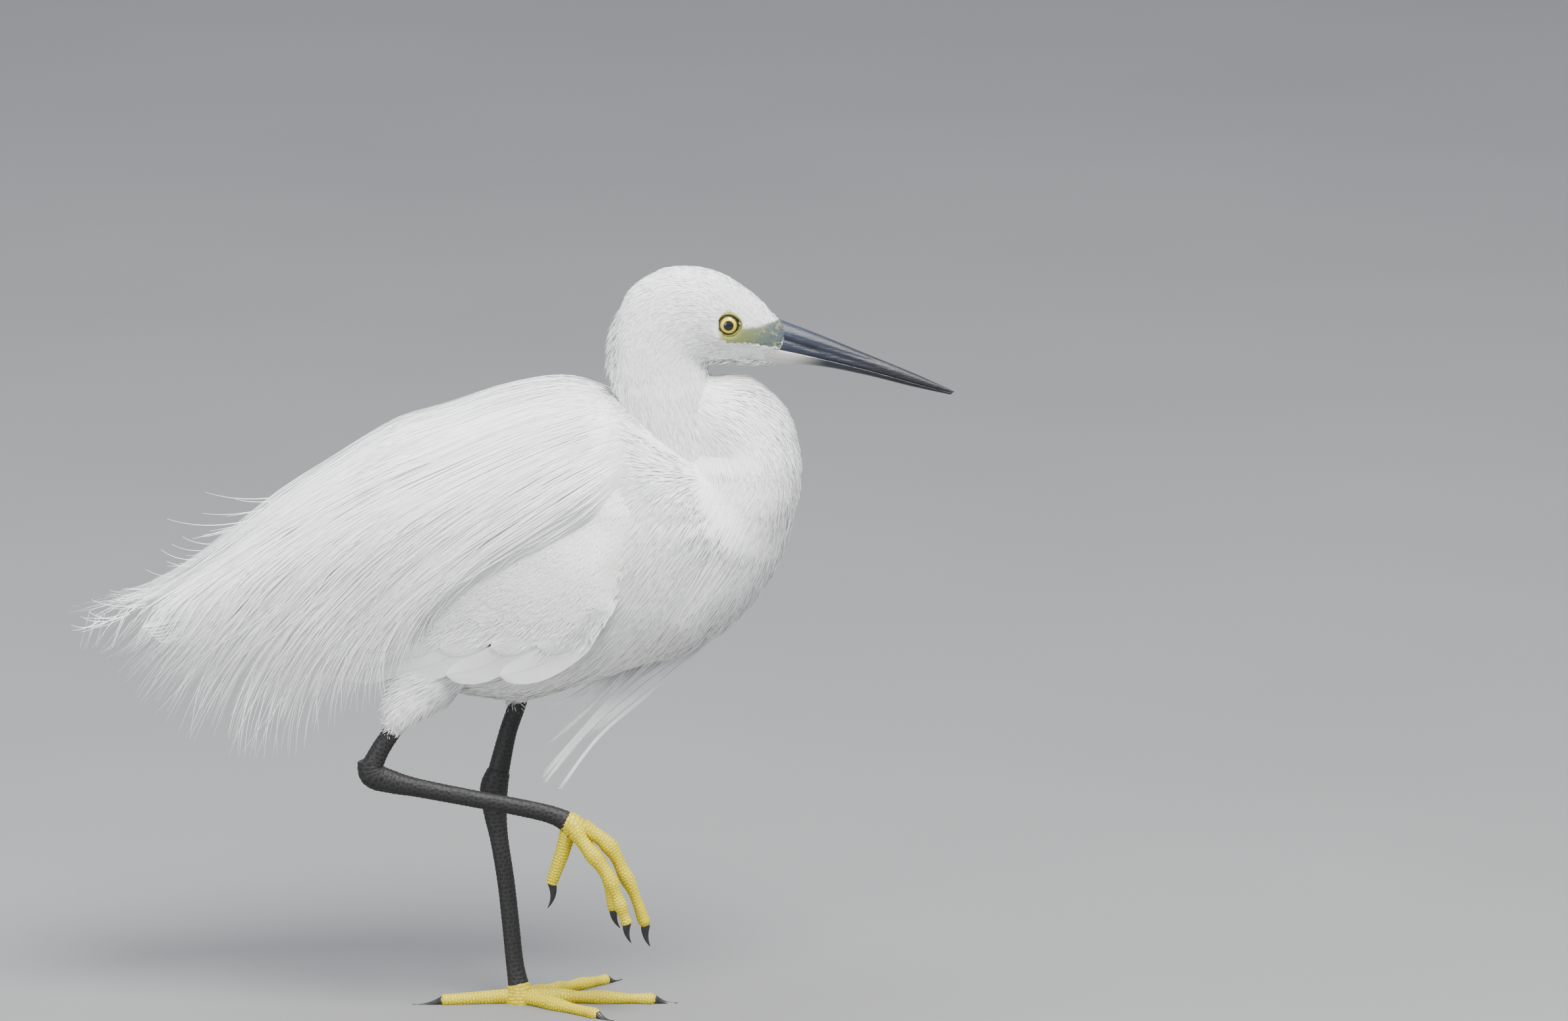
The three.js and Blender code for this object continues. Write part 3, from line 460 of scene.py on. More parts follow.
def lid_material():
    made, tree, shader = material("eye_lid", 0.45)
    grain = noise(tree, object_coordinates(tree), 1500, 3)
    tone = ramp(tree, grain, [(0.3, (0.10, 0.11, 0.02)), (0.7, (0.26, 0.26, 0.03))])
    tree.links.new(tone, shader.inputs["Base Color"])
    bump(tree, shader, grain, 0.5, 0.0003)
    return made


# The skin: one closed surface over the body, neck, head and thighs, inside their solids by the coat's depth
COAT_DEPTH = 1.6
THIGH_COAT_DEPTH = 1.0
THIGH_STATIONS, THIGH_SIDES = 16, 24
SKIN_VOXEL = 1.5
# Rounds of smoothing for the whole skin, the breast and the lie of the feathers
SKIN_ROUNDS = 4
BREAST_ROUNDS = 24
LIE_ROUNDS = 14
# How much of the way to its neighbours' mean each round moves the breast
BREAST_FILL = 0.6
# The eye's hollow: depth, and the distances from the eye's axis between which it ends
SOCKET_DEPTH = 3.2
SOCKET_EDGE = (4.0, 5.6)
# No feathers grow closer to the eye's axis than this
EYE_HOLE = 5.4
# The outline of the bare skin between bill and eye, in the side view
BARE = [[90.5, 308.2], [93, 306.6], [99, 306.4], [106, 305.6], [111, 303.6], [118, 303], [121, 316],
        [115, 315.2], [107, 314.2], [100, 314.4], [95, 319.6], [90, 317]]


def ribbed(ribs, stations, sides, grow):
    t = np.linspace(0, len(ribs) - 1, stations)[:, None]
    angle = 2 * np.pi * (np.arange(sides) + 0.5)[None, :] / sides
    points = rib_point(ribs, t, angle, grow)
    return points.reshape(-1, 3), tube_faces(stations, sides)


def voxel_union(shells, voxel):
    """One surface round several closed shells of (points, (quads, triangles)), and its quads."""
    mesh = bpy.data.meshes.new("shells")
    points, faces, first = [], [], 0
    for shell, (quads, triangles) in shells:
        points.append(shell)
        faces += (quads + first).tolist() + (triangles + first).tolist()
        first += len(shell)
    mesh.from_pydata((np.concatenate(points) * MM).tolist(), [], faces)
    made = bpy.data.objects.new("shells", mesh)
    bpy.context.scene.collection.objects.link(made)
    remesh = made.modifiers.new("remesh", "REMESH")
    remesh.mode = "VOXEL"
    remesh.voxel_size = voxel * MM
    graph = bpy.context.evaluated_depsgraph_get()
    result = bpy.data.meshes.new_from_object(made.evaluated_get(graph))
    bpy.data.objects.remove(made)
    bpy.data.meshes.remove(mesh)
    joined = np.empty(len(result.vertices) * 3, np.float32)
    result.vertices.foreach_get("co", joined)
    quads = np.array([p.vertices[:] for p in result.polygons if len(p.vertices) == 4], int)
    triangles = np.array([p.vertices[:] for p in result.polygons if len(p.vertices) == 3], int).reshape(-1, 3)
    bpy.data.meshes.remove(result)
    return joined.reshape(-1, 3).astype(float) / MM, quads, triangles


def edges_of(quads, triangles):
    pairs = [quads[:, [i, (i + 1) % 4]] for i in range(4)]
    if len(triangles):
        pairs += [triangles[:, [i, (i + 1) % 3]] for i in range(3)]
    both = np.sort(np.concatenate(pairs), axis=1)
    return np.unique(both, axis=0)


def averaged(values, edges, count):
    """Each vertex's mean over its neighbours."""
    total = np.zeros_like(values)
    np.add.at(total, edges[:, 0], values[edges[:, 1]])
    np.add.at(total, edges[:, 1], values[edges[:, 0]])
    degree = np.bincount(edges.ravel(), minlength=count).astype(float)
    return total / np.maximum(degree, 1)[:, None]


def smoothed(points, edges, rounds):
    """Smooths without shrinking: a step in, then a step out, each round."""
    for _ in range(rounds):
        for share in (0.5, -0.52):
            points = points + share * (averaged(points, edges, len(points)) - points)
    return points


def vertex_normals(points, quads, triangles):
    normals = np.zeros_like(points)
    for faces in (quads, triangles):
        if not len(faces):
            continue
        corner = points[faces]
        cross = np.cross(corner[:, 1] - corner[:, 0], corner[:, -1] - corner[:, 0])
        for i in range(faces.shape[1]):
            np.add.at(normals, faces[:, i], cross)
    return unit(normals)


def inside_polygon(x, z, polygon):
    polygon = np.asarray(polygon, float)
    inside = np.zeros(x.shape, bool)
    for (x0, z0), (x1, z1) in zip(polygon, np.roll(polygon, -1, axis=0)):
        crosses = (z0 > z) != (z1 > z)
        at = x0 + (z - z0) / np.where(z1 == z0, 1e-9, z1 - z0) * (x1 - x0)
        inside ^= crosses & (x < at)
    return inside


def polygon_distance(x, z, polygon):
    """Distance to the outline, positive inside."""
    polygon = np.asarray(polygon, float)
    best = np.full(x.shape, 1e9)
    for a, b in zip(polygon, np.roll(polygon, -1, axis=0)):
        span = b - a
        f = np.clip(((x - a[0]) * span[0] + (z - a[1]) * span[1]) / (span @ span), 0, 1)
        best = np.minimum(best, np.hypot(x - a[0] - f * span[0], z - a[1] - f * span[1]))
    return np.where(inside_polygon(x, z, polygon), best, -best)


def thigh_shell(side):
    points, _, _ = limb(THIGH[side], SIDEWAYS, THIGH_STATIONS, THIGH_SIDES, -THIGH_COAT_DEPTH)
    return points.reshape(-1, 3), tube_faces(THIGH_STATIONS, THIGH_SIDES)


# Under the breast plumes the flesh is higher than the torso's solid, which takes in their roots: the ribs'
# numbers and low points
BELLY = ((4, (57, 157)), (5, (31, 148)))
# In front, crop and breast pass over into each other
BREAST_FRONT = [
    [127, 243, 84, 268, 26], [125.5, 229, 74, 256, 30], [122, 215, 66, 242, 33], [116, 201, 60, 228, 34],
    [108.5, 189, 54, 214, 33], [98, 177, 48, 200, 30],
]


def breast_share(points):
    """How much a place belongs to the breast below the crop, where the surface is filled smoothly."""
    x, _, z = points.T
    return smooth_step(80, 92, x) * smooth_step(176, 186, z) * smooth_step(256, 244, z)


def build_skin():
    flesh = [list(rib) for rib in TORSO]
    for rib, low_point in BELLY:
        flesh[rib][:2] = low_point
    shells = [
        ribbed(flesh, 60, 64, -COAT_DEPTH), ribbed(CROP, 36, 64, -COAT_DEPTH),
        ribbed(HEAD_AND_NECK, 60, 64, -COAT_DEPTH), ribbed(BREAST_FRONT, 40, 56, -COAT_DEPTH),
        thigh_shell(RIGHT), thigh_shell(LEFT),
    ]
    points, quads, triangles = voxel_union(shells, SKIN_VOXEL)
    edges = edges_of(quads, triangles)
    points = smoothed(points, edges, SKIN_ROUNDS)
    share = BREAST_FILL * breast_share(points)[:, None]
    for _ in range(BREAST_ROUNDS):
        points = points + share * (averaged(points, edges, len(points)) - points)
    normals = vertex_normals(points, quads, triangles)
    near_head = (points[:, 0] > 86) & (points[:, 2] > 300)
    bare = np.where(near_head, smooth_step(-0.9, 0.9, polygon_distance(points[:, 0], points[:, 2], BARE)), 0)
    points = points + normals * (bare * (COAT_DEPTH - 0.2))[:, None]
    from_eye = np.hypot(points[:, 0] - EYE_PLACE[0], points[:, 2] - EYE_PLACE[2])
    points[:, 1] -= np.sign(points[:, 1]) * SOCKET_DEPTH * (1 - smooth_step(*SOCKET_EDGE, from_eye))
    return points, quads, triangles, edges, normals, bare


skin_points, skin_quads, skin_triangles, skin_edges, skin_normals, skin_bare = build_skin()


# The lie of the coat, and where each place of the skin falls on its unwrap: ribs, the way along them that
# feathers lie, and the start and width of their strip
CHARTS = (
    (HEAD_AND_NECK, -1, 0.0, 0.36), (CROP, 1, 0.38, 0.12), (TORSO, 1, 0.52, 0.32), (BREAST, 1, 0.86, 0.11),
)


def coat_guides():
    """Sample points on the ribs with the way that feathers lie, and their places on the unwrap."""
    places, ways, unwraps = [], [], []
    for ribs, onward, start, span in CHARTS:
        last = len(ribs) - 1
        t = np.linspace(0.05, last - (1.2 if ribs is CROP else 0.05), last * 8)[:, None]
        angle = np.linspace(-np.pi, np.pi, 73)[None, :-1]
        here = rib_point(ribs, t, angle, -COAT_DEPTH)
        ahead = rib_point(ribs, t + 0.04 * onward, angle, -COAT_DEPTH)
        places.append(here.reshape(-1, 3))
        ways.append(unit(ahead - here).reshape(-1, 3))
        u = np.broadcast_to(start + span * t / last, here.shape[:2])
        v = np.broadcast_to(0.02 + 0.96 * (angle + np.pi) / (2 * np.pi), here.shape[:2])
        unwraps.append(np.stack([u, v], axis=-1).reshape(-1, 2))
    for side in (RIGHT, LEFT):
        line = through(THIGH[side], np.linspace(0.8, 3, 12))[:, :3]
        points, _, _ = limb(THIGH[side], SIDEWAYS, 12, 12, -THIGH_COAT_DEPTH)
        way = np.broadcast_to(unit(line[-1] - line[0]), points.shape)
        places.append(points.reshape(-1, 3))
        ways.append(way.reshape(-1, 3))
        unwraps.append(np.tile([0.995, 0.5], (points.shape[0] * points.shape[1], 1)))
    return np.concatenate(places), np.concatenate(ways), np.concatenate(unwraps)


def skin_lie():
    places, ways, unwraps = coat_guides()
    tree = KDTree(len(places))
    for i, place in enumerate(places):
        tree.insert(place, i)
    tree.balance()
    nearest = np.array([tree.find(p)[1] for p in skin_points])
    lie = ways[nearest]
    # Over breast and flank the feathers slope down and back, more and more level towards the tail
    x, _, z = skin_points.T
    slope = mix(math.radians(-117), math.radians(-160), smooth_step(70, -20, x))
    side_way = xyz(np.cos(slope), 0, np.sin(slope))
    behind_breast = smooth_step(258, 240, z) * smooth_step(118, 104, x)
    torso = (behind_breast + breast_share(skin_points)).clip(0, 0.9) * smooth_step(148, 156, z)
    lie = mix(lie, side_way, torso[:, None])
    for _ in range(LIE_ROUNDS):
        lie = lie + averaged(lie, skin_edges, len(lie))
        lie = unit(lie - skin_normals * np.sum(lie * skin_normals, axis=1)[:, None])
    return lie, unwraps[nearest]


skin_way, skin_unwrap = skin_lie()


def tuft_mesh(name, root, way, normal, length, width, lift, unwrap, tones=(0.35, 0.8)):
    """Thin tapered locks from roots on the skin. They leave it as lift says and bend back along it."""
    f = np.array([0, 0.45, 1])
    rise = (lift[:, None] * (f - 0.45 * f * f))[..., None] * length[:, None, None]
    run = (f[None, :] * length[:, None])[..., None]
    path = root[:, None] + way[:, None] * run + normal[:, None] * rise
    side = np.cross(normal, way)
    roll = draw.normal(0, 0.35, len(root))[:, None]
    across = unit(side * np.cos(roll) + normal * np.sin(roll))[:, None].repeat(3, 1)
    half = width[:, None] / 2 * np.array([0.6, 1, 0.07])
    out = normal[:, None].repeat(3, 1)
    ribbon_mesh(name, path, across, half, unwrap, tones, FEATHER, (), out, 0.22)


# The side of each feather's patch on the unwrap
PATCH = 0.003


def feather_uv(unwrap, rows, columns):
    """One small patch of the unwrap for each feather."""
    u = unwrap[:, None, None, 0] + PATCH * np.linspace(0, 1, rows)[None, :, None] + np.zeros((1, 1, columns))
    v = unwrap[:, None, None, 1] + PATCH * np.linspace(0, 1, columns)[None, None, :] + np.zeros((1, rows, 1))
    return np.stack([u, v], axis=-1)


def ribbon_mesh(name, path, across, half, unwrap, tones, made_of, replaces, out, roundness):
    """Flat ribbons along paths of shape (count, stations, 3), shaded as if rounded about the way out."""
    count, stations, _ = path.shape
    sides = np.stack([path - across * half[..., None], path + across * half[..., None]], axis=2)
    normals = unit(np.stack([out - across * roundness, out + across * roundness], axis=2))
    index = np.arange(count * stations * 2).reshape(count, stations, 2)
    quads = grid_quads(index.swapaxes(1, 2))
    tone = draw.uniform(tones[0], tones[1], count)[:, None, None] + np.zeros((1, stations, 2))
    piece(name, sides, [quads], made_of, uv=feather_uv(unwrap, stations, 2),
          attributes=[("tone", tone)], replaces=replaces, normals=normals)


def scatter(count, keep):
    """Random roots on the skin where keep, an array of densities from 0 to 1 at its vertices, allows."""
    corners = np.concatenate([skin_quads[:, [0, 1, 2]], skin_quads[:, [0, 2, 3]], skin_triangles])
    a, b, c = (skin_points[corners[:, i]] for i in range(3))
    area = np.linalg.norm(np.cross(b - a, c - a), axis=1) * keep[corners].mean(axis=1)
    pick = draw.choice(len(corners), count, p=area / area.sum())
    s, t = np.sqrt(draw.random(count)), draw.random(count)
    weights = np.stack([1 - s, s * (1 - t), s * t], axis=1)[..., None]
    chosen = corners[pick]
    root = (skin_points[chosen] * weights).sum(axis=1)
    normal = unit((skin_normals[chosen] * weights).sum(axis=1))
    way = (skin_way[chosen] * weights).sum(axis=1)
    way = unit(way - normal * np.sum(way * normal, axis=1)[:, None])
    return root, way, normal, skin_unwrap[chosen[:, 0]]


def turned(way, normal, angle):
    side = np.cross(normal, way)
    return way * np.cos(angle)[:, None] + side * np.sin(angle)[:, None]


def hidden_by_wings(points):
    """Where wings and back plumes cover the skin, which needs no short feathers there."""
    x, z = points[:, 0], points[:, 2]
    wing = (x < 44 - 0.1 * np.abs(z - 215)) & (z > 172 + np.clip(-x - 20, 0, 100) * 0.1) & (z < 240)
    mantle = (x < 22) & (z > 236)
    return wing | mantle


def body_coat():
    x, _, z = skin_points.T
    head = smooth_step(288, 297, z) * smooth_step(36, 40, x)
    neck_only = (z > 236) & (x > 40) & (head < 0.5)
    covered = hidden_by_wings(skin_points) | (skin_bare > 0.45)
    thigh = (z < 150) & (x < 18)
    in_eye = np.hypot(x - EYE_PLACE[0], z - EYE_PLACE[2]) < EYE_HOLE
    open_skin = np.where(covered | in_eye, 0.0, 1.0)
    # Name, number, where, length, width and lift of the feathers
    rows = (
        ("feathers_head", 44000, head, 4.2, 0.6, 0.20),
        ("feathers_neck", 48000, np.where(neck_only, 1.0, 0.0), 8.5, 0.75, 0.13),
        ("feathers_body", 48000, np.where((head < 0.5) & ~neck_only & ~thigh, 1.0, 0.0), 12.0, 0.95, 0.11),
        ("feathers_thighs", 10000, np.where(thigh, 1.0, 0.0), 9.0, 0.9, 0.16),
    )
    for name, count, region, length, width, lift in rows:
        root, way, normal, unwrap = scatter(count, region * open_skin)
        way = turned(way, normal, draw.normal(0, 0.09, count))
        size = draw.uniform(0.7, 1.25, count)
        if name == "feathers_head":
            near_face = smooth_step(60, 104, root[:, 0])
            size = size * mix(1.25, 0.62, near_face)
        tuft_mesh(name, root, way, normal, length * size, width * np.sqrt(size),
                  lift * draw.uniform(0.5, 1.4, count), unwrap)


def stray_tufts():
    """Hackles that stand off the nape, and the ragged edge of the chin."""
    x, _, z = skin_points.T
    nape = smooth_step(50, 42, x) * smooth_step(294, 300, z) * smooth_step(332, 322, z)
    count = 520
    root, way, normal, unwrap = scatter(count, nape)
    way = turned(way, normal, draw.normal(0, 0.22, count))
    tuft_mesh("hackles_nape", root, way, normal, draw.uniform(4.5, 9.0, count), draw.uniform(0.4, 0.7, count),
              draw.uniform(0.25, 0.75, count), unwrap, (0.6, 1.0))
    chin = np.where((x > 82) & (x < 117) & (z < 297.5) & (z > 286) & (skin_normals[:, 2] < -0.25), 1.0, 0.0)
    count = 700
    root, way, normal, unwrap = scatter(count, chin)
    way = turned(way, normal, draw.normal(0, 0.3, count))
    tuft_mesh("hackles_chin", root, way, normal, draw.uniform(2.8, 5.2, count), draw.uniform(0.5, 0.9, count),
              draw.uniform(0.35, 0.8, count), unwrap, (0.6, 1.0))


piece("skin", skin_points, [skin_quads] + ([skin_triangles] if len(skin_triangles) else []),
      skin_material(), attributes=[("bare", skin_bare)],
      replaces=("head", "neck_upper", "neck_lower", "torso", "thigh_left", "thigh_right"))
body_coat()
stray_tufts()


# The flanks that wings and back plumes lie on, as in the side view, with the back's curve unrolled upwards
# How far round the flank turns up to the ridge in radians, how slowly it rises past that, how far the two
# sides part at the ridge, and how much they draw in below the widest place
RIDGE_TURN = 1.55
CREST = 0.3
PARTING = 0.3
HANG = 0.14
# Rounds of halving in the search for a place's rib
HALVINGS = 16


def on_wrap(x, z):
    """Where side-view places lie on the wrap: t along it, its rib there, and the height on the rib."""
    low = np.full(np.shape(x), 0.4)
    high = np.full(np.shape(x), len(WRAP) - 1.0)
    for _ in range(HALVINGS):
        t = (low + high) / 2
        middle, up, _, _ = rib_at(WRAP, t)
        behind = up[..., 0] * (z - middle[..., 1]) - up[..., 1] * (x - middle[..., 0]) > 0
        low = np.where(behind, t, low)
        high = np.where(behind, high, t)
    t = (low + high) / 2
    middle, up, h, w = rib_at(WRAP, t)
    height = ((x - middle[..., 0]) * up[..., 0] + (z - middle[..., 1]) * up[..., 1]) / h
    return t, middle, up, h, w, height


def flank_turn(where):
    """How far round the flank's curve a place lies, and the way out there, to the side and up."""
    _, _, _, h, w, height = where
    turn = np.clip(height, 0, RIDGE_TURN)
    return turn, unit(np.stack([np.cos(turn) / w, np.sin(turn) / h], axis=-1))


def flank(place, off, side, where):
    """Points at depth off outside the wrap surface, at side-view places that on_wrap has found."""
    x, z = place[..., 0], place[..., 1]
    _, middle, up, h, w, height = where
    hanging = xyz(x, side * (w * (1 - HANG * np.minimum(height * height, 2)) + off), z)
    turn, normal = flank_turn(where)
    rise, run = np.sin(turn), np.cos(turn)
    lift = (rise + CREST * np.maximum(height - turn, 0)) * h + normal[..., 1] * off
    over = above(middle, up, lift, side * (w * run + normal[..., 0] * off + PARTING * rise))
    return np.where((height < 0)[..., None], hanging, over)


def flank_out(side, where):
    """The way out of the flank's surface."""
    up = where[2]
    _, normal = flank_turn(where)
    return xyz(up[..., 0] * normal[..., 1], side * normal[..., 0], up[..., 1] * normal[..., 1])


def settle(where):
    """The share of their height that feathers keep, less of it towards the ridge of the back."""
    return 1 - 0.5 * smooth_step(0.3, 0.75, where[5])


def wing_top(place, where):
    """How high wing and tail lie under the back plumes."""
    return mix(5, 10.2, smooth_step(-185, -40, place[..., 0])) * settle(where)


def wrap_unwrap(place, side):
    """The places' own part of the torso's strip on the unwrap."""
    t, _, _, _, _, height = on_wrap(place[..., 0], place[..., 1])
    u = 0.52 + 0.32 * np.clip(t / (len(TORSO) - 1), 0, 1)
    return np.stack([u, 0.5 + side * 0.47 * np.clip(0.5 - height / 3.2, 0, 1)], axis=-1)


def grids_mesh(name, points, material, unwrap, attributes, replaces):
    """Open sheets of shape (count, stations, across, 3), one patch of the unwrap each."""
    count, rows, columns, _ = points.shape
    quads = grid_quads(np.arange(count * rows * columns).reshape(count, rows, columns))
    piece(name, points, [quads], material, uv=feather_uv(unwrap, rows, columns),
          attributes=attributes, replaces=replaces)


# Radians of the barbs' wave in a millimetre
BARB_RATE = 9.0


def vane_material():
    """A flight feather: fine barbs slanting from the shaft, by attributes u along and v across it."""
    made, tree, shader = material("vane_barbs", 0.5, Sheen_Weight=0.2)
    slant = calculated(tree, "ABSOLUTE", attribute(tree, "v"))
    phase = calculated(tree, "SUBTRACT", attribute(tree, "u"), slant)
    wave = calculated(tree, "SINE", calculated(tree, "MULTIPLY", phase, BARB_RATE))
    clouds = noise(tree, object_coordinates(tree), 60, 4)
    tone = ramp(tree, clouds, [(0.3, (0.84, 0.84, 0.83)), (0.7, (0.94, 0.945, 0.95))])
    shaft = ramp(tree, slant, [(0.35, (1.0, 1.0, 1.0)), (0.6, (0.0, 0.0, 0.0))])
    tree.links.new(mixed(tree, shaft, tone, (0.80, 0.79, 0.74)), shader.inputs["Base Color"])
    bump(tree, shader, wave, 0.25, 0.0002)
    return made


VANE = vane_material()

# The wing's outline in the side view, and its tiers of feathers: count, the first feather's tip, the step to
# the next one's, the root and the bend from the tip, and the width
WING_EDGE = [
    [54, 236], [53, 228], [50.5, 218], [47.5, 208], [45.5, 190], [37.5, 177], [21.5, 163.5], [8, 156.5],
    [-7, 158], [-32, 155], [-53, 157], [-94, 156], [-106, 162], [-100, 190], [-60, 240], [0, 262], [45, 252],
]
WING_TIERS = (
    (5, [-88, 158.2], [-3.5, 3.4], [70, 12], [40, 2], 8),
    (4, [-7.5, 161], [-23.5, -0.8], [53, 40], [33, 4], 15),
    (5, [10, 175], [-22, -1.2], [40, 38], [26, 7], 16),
    (5, [21, 189], [-20, -1.2], [30, 36], [20, 9], 16),
    (5, [31, 204], [-18, -0.6], [20, 33], [14, 11], 15),
    (4, [38, 219], [-16, 0], [12, 28], [9, 11], 14),
)
# How far a wing feather slopes down from its tip towards its root, apart from the buried end
FEATHER_LAG = 2.0


def wing_surface(place, where):
    """How high the wing's own feathers lie, lower at its edge and shoulder."""
    x, z = place[..., 0], place[..., 1]
    near = smooth_step(-1, 14, polygon_distance(x, z, WING_EDGE))
    edge = mix(1.8, -1.6, smooth_step(168, 200, z))
    shoulder = smooth_step(208, 232, z) * smooth_step(10, 38, x)
    full = mix(2.4, 8.4, smooth_step(152, 206, z)) * mix(1, 0.3, shoulder)
    return mix(edge, full, near) * settle(where)


def wing_tier(row, side):
    count, first, step, root, bend, width = row
    stations, over = 24, 13
    a = np.linspace(0, 1, stations)[None, :, None, None]
    b = np.linspace(-1, 1, over)[None, None, :]
    tip = np.array(first, float) + np.arange(count)[:, None] * np.array(step, float)
    tip = tip + draw.normal(0, 0.5, (count, 2))
    root = tip + np.array(root, float) + draw.normal(0, 1.2, (count, 2))
    bend = tip + np.array(bend, float) + draw.normal(0, 0.8, (count, 2))
    tip, root, bend = (v[:, None, None] for v in (tip, root, bend))
    line = root * (1 - a) ** 2 + bend * 2 * a * (1 - a) + tip * a * a
    way = unit((bend - root) * (1 - a) + (tip - bend) * a)
    across = np.stack([way[..., 1], -way[..., 0]], axis=-1)
    a = a[..., 0]
    end = np.sqrt(np.clip(1 - ((np.clip(a, 0.68, 1) - 0.68) / 0.32) ** 2, 0.003, 1))
    ragged = 1 + 0.02 * np.sin(a * 71 + draw.uniform(0, 6, (count, 1, 1))) * np.abs(b) ** 3
    half = width / 2 * mix(0.15, 1, smooth_step(0, 0.45, a)) * end * ragged
    place = line + across * (half * b)[..., None]
    where = on_wrap(place[..., 0], place[..., 1])
    depth = wing_surface(place, where) - FEATHER_LAG * (1 - a) ** 0.8
    depth = depth + 0.5 * (1 - b * b) * smooth_step(0, 0.3, a)
    depth = depth + 0.12 * np.exp(-(b / 0.08) ** 2) * (1 - a) - 0.2 * b - 4 * smooth_step(0.4, 0, a)
    points = flank(place, depth, side, where)
    length = np.linalg.norm(root - tip, axis=-1)
    return points, a * length + 0 * b, half * b, root[:, 0, 0]


def wing_down(side, side_name):
    """Fine down over the upper wing, thinning out towards the large feathers below."""
    tries = 30000
    root = np.stack([draw.uniform(-45, 60, tries), draw.uniform(168, 262, tries)], axis=-1)
    inside = polygon_distance(root[:, 0], root[:, 1], WING_EDGE)
    overhang = mix(2, -4, smooth_step(200, 214, root[:, 1]))
    density = smooth_step(172, 212, root[:, 1]) * smooth_step(overhang, 3, inside)
    root = root[draw.random(tries) < density]
    count = len(root)
    angle = mix(-2.03, -2.55, smooth_step(55, -20, root[:, 0])) + draw.normal(0, 0.10, count)
    way = np.stack([np.cos(angle), np.sin(angle)], axis=-1)
    length = draw.uniform(5, 9, count)
    g = np.linspace(0, 1, 4)
    place = root[:, None] + way[:, None] * (length[:, None] * g)[..., None]
    where = on_wrap(place[..., 0], place[..., 1])
    off = wing_surface(place, where) + mix(-0.9, 0.55, g)[None, :]
    lay_ribbons(f"wing_down_{side_name}", place, off, side, where, draw.uniform(0.6, 1.0, count),
                np.array([0.6, 1, 0.8, 0.1])[None, :], (0.4, 0.8), 0.2, 0.2)


def rolled(path, out, roll):
    """The way across ribbons along paths, each rolled a little about its line, and the way along them."""
    tangent = unit(np.gradient(path, axis=1))
    flat = unit(np.cross(out, tangent))
    turn = draw.normal(0, roll, (len(path), 1, 1))
    return flat * np.cos(turn) + np.cross(tangent, flat) * np.sin(turn), tangent


def pointed(g, power):
    """Full width up to the middle of a strand, then narrower to a fine end."""
    return 1 - 0.9 * np.clip(2 * g - 1, 0, 1) ** power


def lay_ribbons(name, place, off, side, where, width, taper, tones, roll, roundness):
    """Ribbons along side-view places, off the flank by the depth off."""
    path = flank(place, off, side, where)
    out = flank_out(side, where)
    across, tangent = rolled(path, out, roll)
    out = unit(out - tangent * np.sum(out * tangent, axis=-1, keepdims=True))
    half = width[:, None] / 2 * taper
    unwrap = wrap_unwrap(place[:, 0], side)
    ribbon_mesh(name, path, across, half, unwrap, tones, PLUME, (), out, roundness)


def build_wing(side, side_name):
    sheets, u, v, roots = [], [], [], []
    for row in WING_TIERS:
        points, along_vane, over_vane, root = wing_tier(row, side)
        sheets.append(points)
        u.append(along_vane)
        v.append(over_vane)
        roots.append(root)
    unwrap = wrap_unwrap(np.concatenate(roots), side)
    grids_mesh(f"wing_feathers_{side_name}", np.concatenate(sheets), VANE, unwrap,
               [("u", np.concatenate(u)), ("v", np.concatenate(v))], (f"wing_{side_name}",))
    wing_down(side, side_name)


# The tail feathers' roots and the tips of the outer and the middle ones as [x, z], and half a feather's width
TAIL_ROOT = (-106, 188)
TAIL_OUTER = (-161, 169.8)
TAIL_MIDDLE = (-169, 174.6)
TAIL_HALF = 4.6


def build_tail():
    count, stations, over = 12, 22, 9
    spread = np.linspace(-1, 1, count)[:, None, None]
    middle = 1 - np.abs(spread)
    a = np.linspace(0, 1, stations)[None, :, None]
    b = np.linspace(-1, 1, over)[None, None, :]
    end = np.sqrt(np.clip(1 - ((np.clip(a, 0.85, 1) - 0.85) / 0.15) ** 2, 0.03, 1))
    half = TAIL_HALF * mix(0.6, 1, smooth_step(0, 0.4, a)) * end
    x, z = (mix(root, mix(outer, inner, middle), a)
            for root, outer, inner in zip(TAIL_ROOT, TAIL_OUTER, TAIL_MIDDLE))
    z = z - 0.28 * spread * half * b + 0.6 * (1 - b * b) + 0.25 * spread
    y = spread * mix(3, 8.2, a) + half * b
    points = xyz(x, y, z)
    flat = np.zeros((count, stations, over))
    grids_mesh("tail_feathers", points, VANE, np.tile([0.83, 0.5], (count, 1)),
               [("u", a * 60 + flat), ("v", half * b + flat)], ("tail",))


# Back plumes follow guides, from the lowest and foremost to the one along the back: start, start direction,
# tip, end direction, and how far the tip lifts off.
GUIDES = np.array([
    [45, 244, -0.55, -0.83, -30, 184, 0.15, -0.99, 0],
    [44, 253, -0.78, -0.63, -57, 156, 0.03, -1.00, 0],
    [43, 262, -0.85, -0.52, -80, 137, -0.03, -1.00, 0],
    [42, 270, -0.89, -0.45, -103, 127, -0.10, -0.99, 0],
    [41, 278, -0.91, -0.41, -129, 128, -0.22, -0.97, 0],
    [39, 286, -0.91, -0.41, -152, 139, -0.42, -0.90, 0],
    [37, 294, -0.92, -0.39, -169, 156, -0.62, -0.78, 1],
    [35, 302, -0.93, -0.36, -181, 173, -0.80, -0.60, 3],
])
# Past this share the guides pass over to the ridge of the back, from and to these places along WRAP
RIDGE_SHARE = 0.8
RIDGE_SPAN = (2.6, 13.6)
RIDGE_LIFT = 8


def ridge_place(s):
    middle, up, h, _ = rib_at(WRAP, mix(RIDGE_SPAN[0], RIDGE_SPAN[1], np.clip(s, -0.1, 1.03)))
    return middle + up * (h * RIDGE_TURN)[..., None]


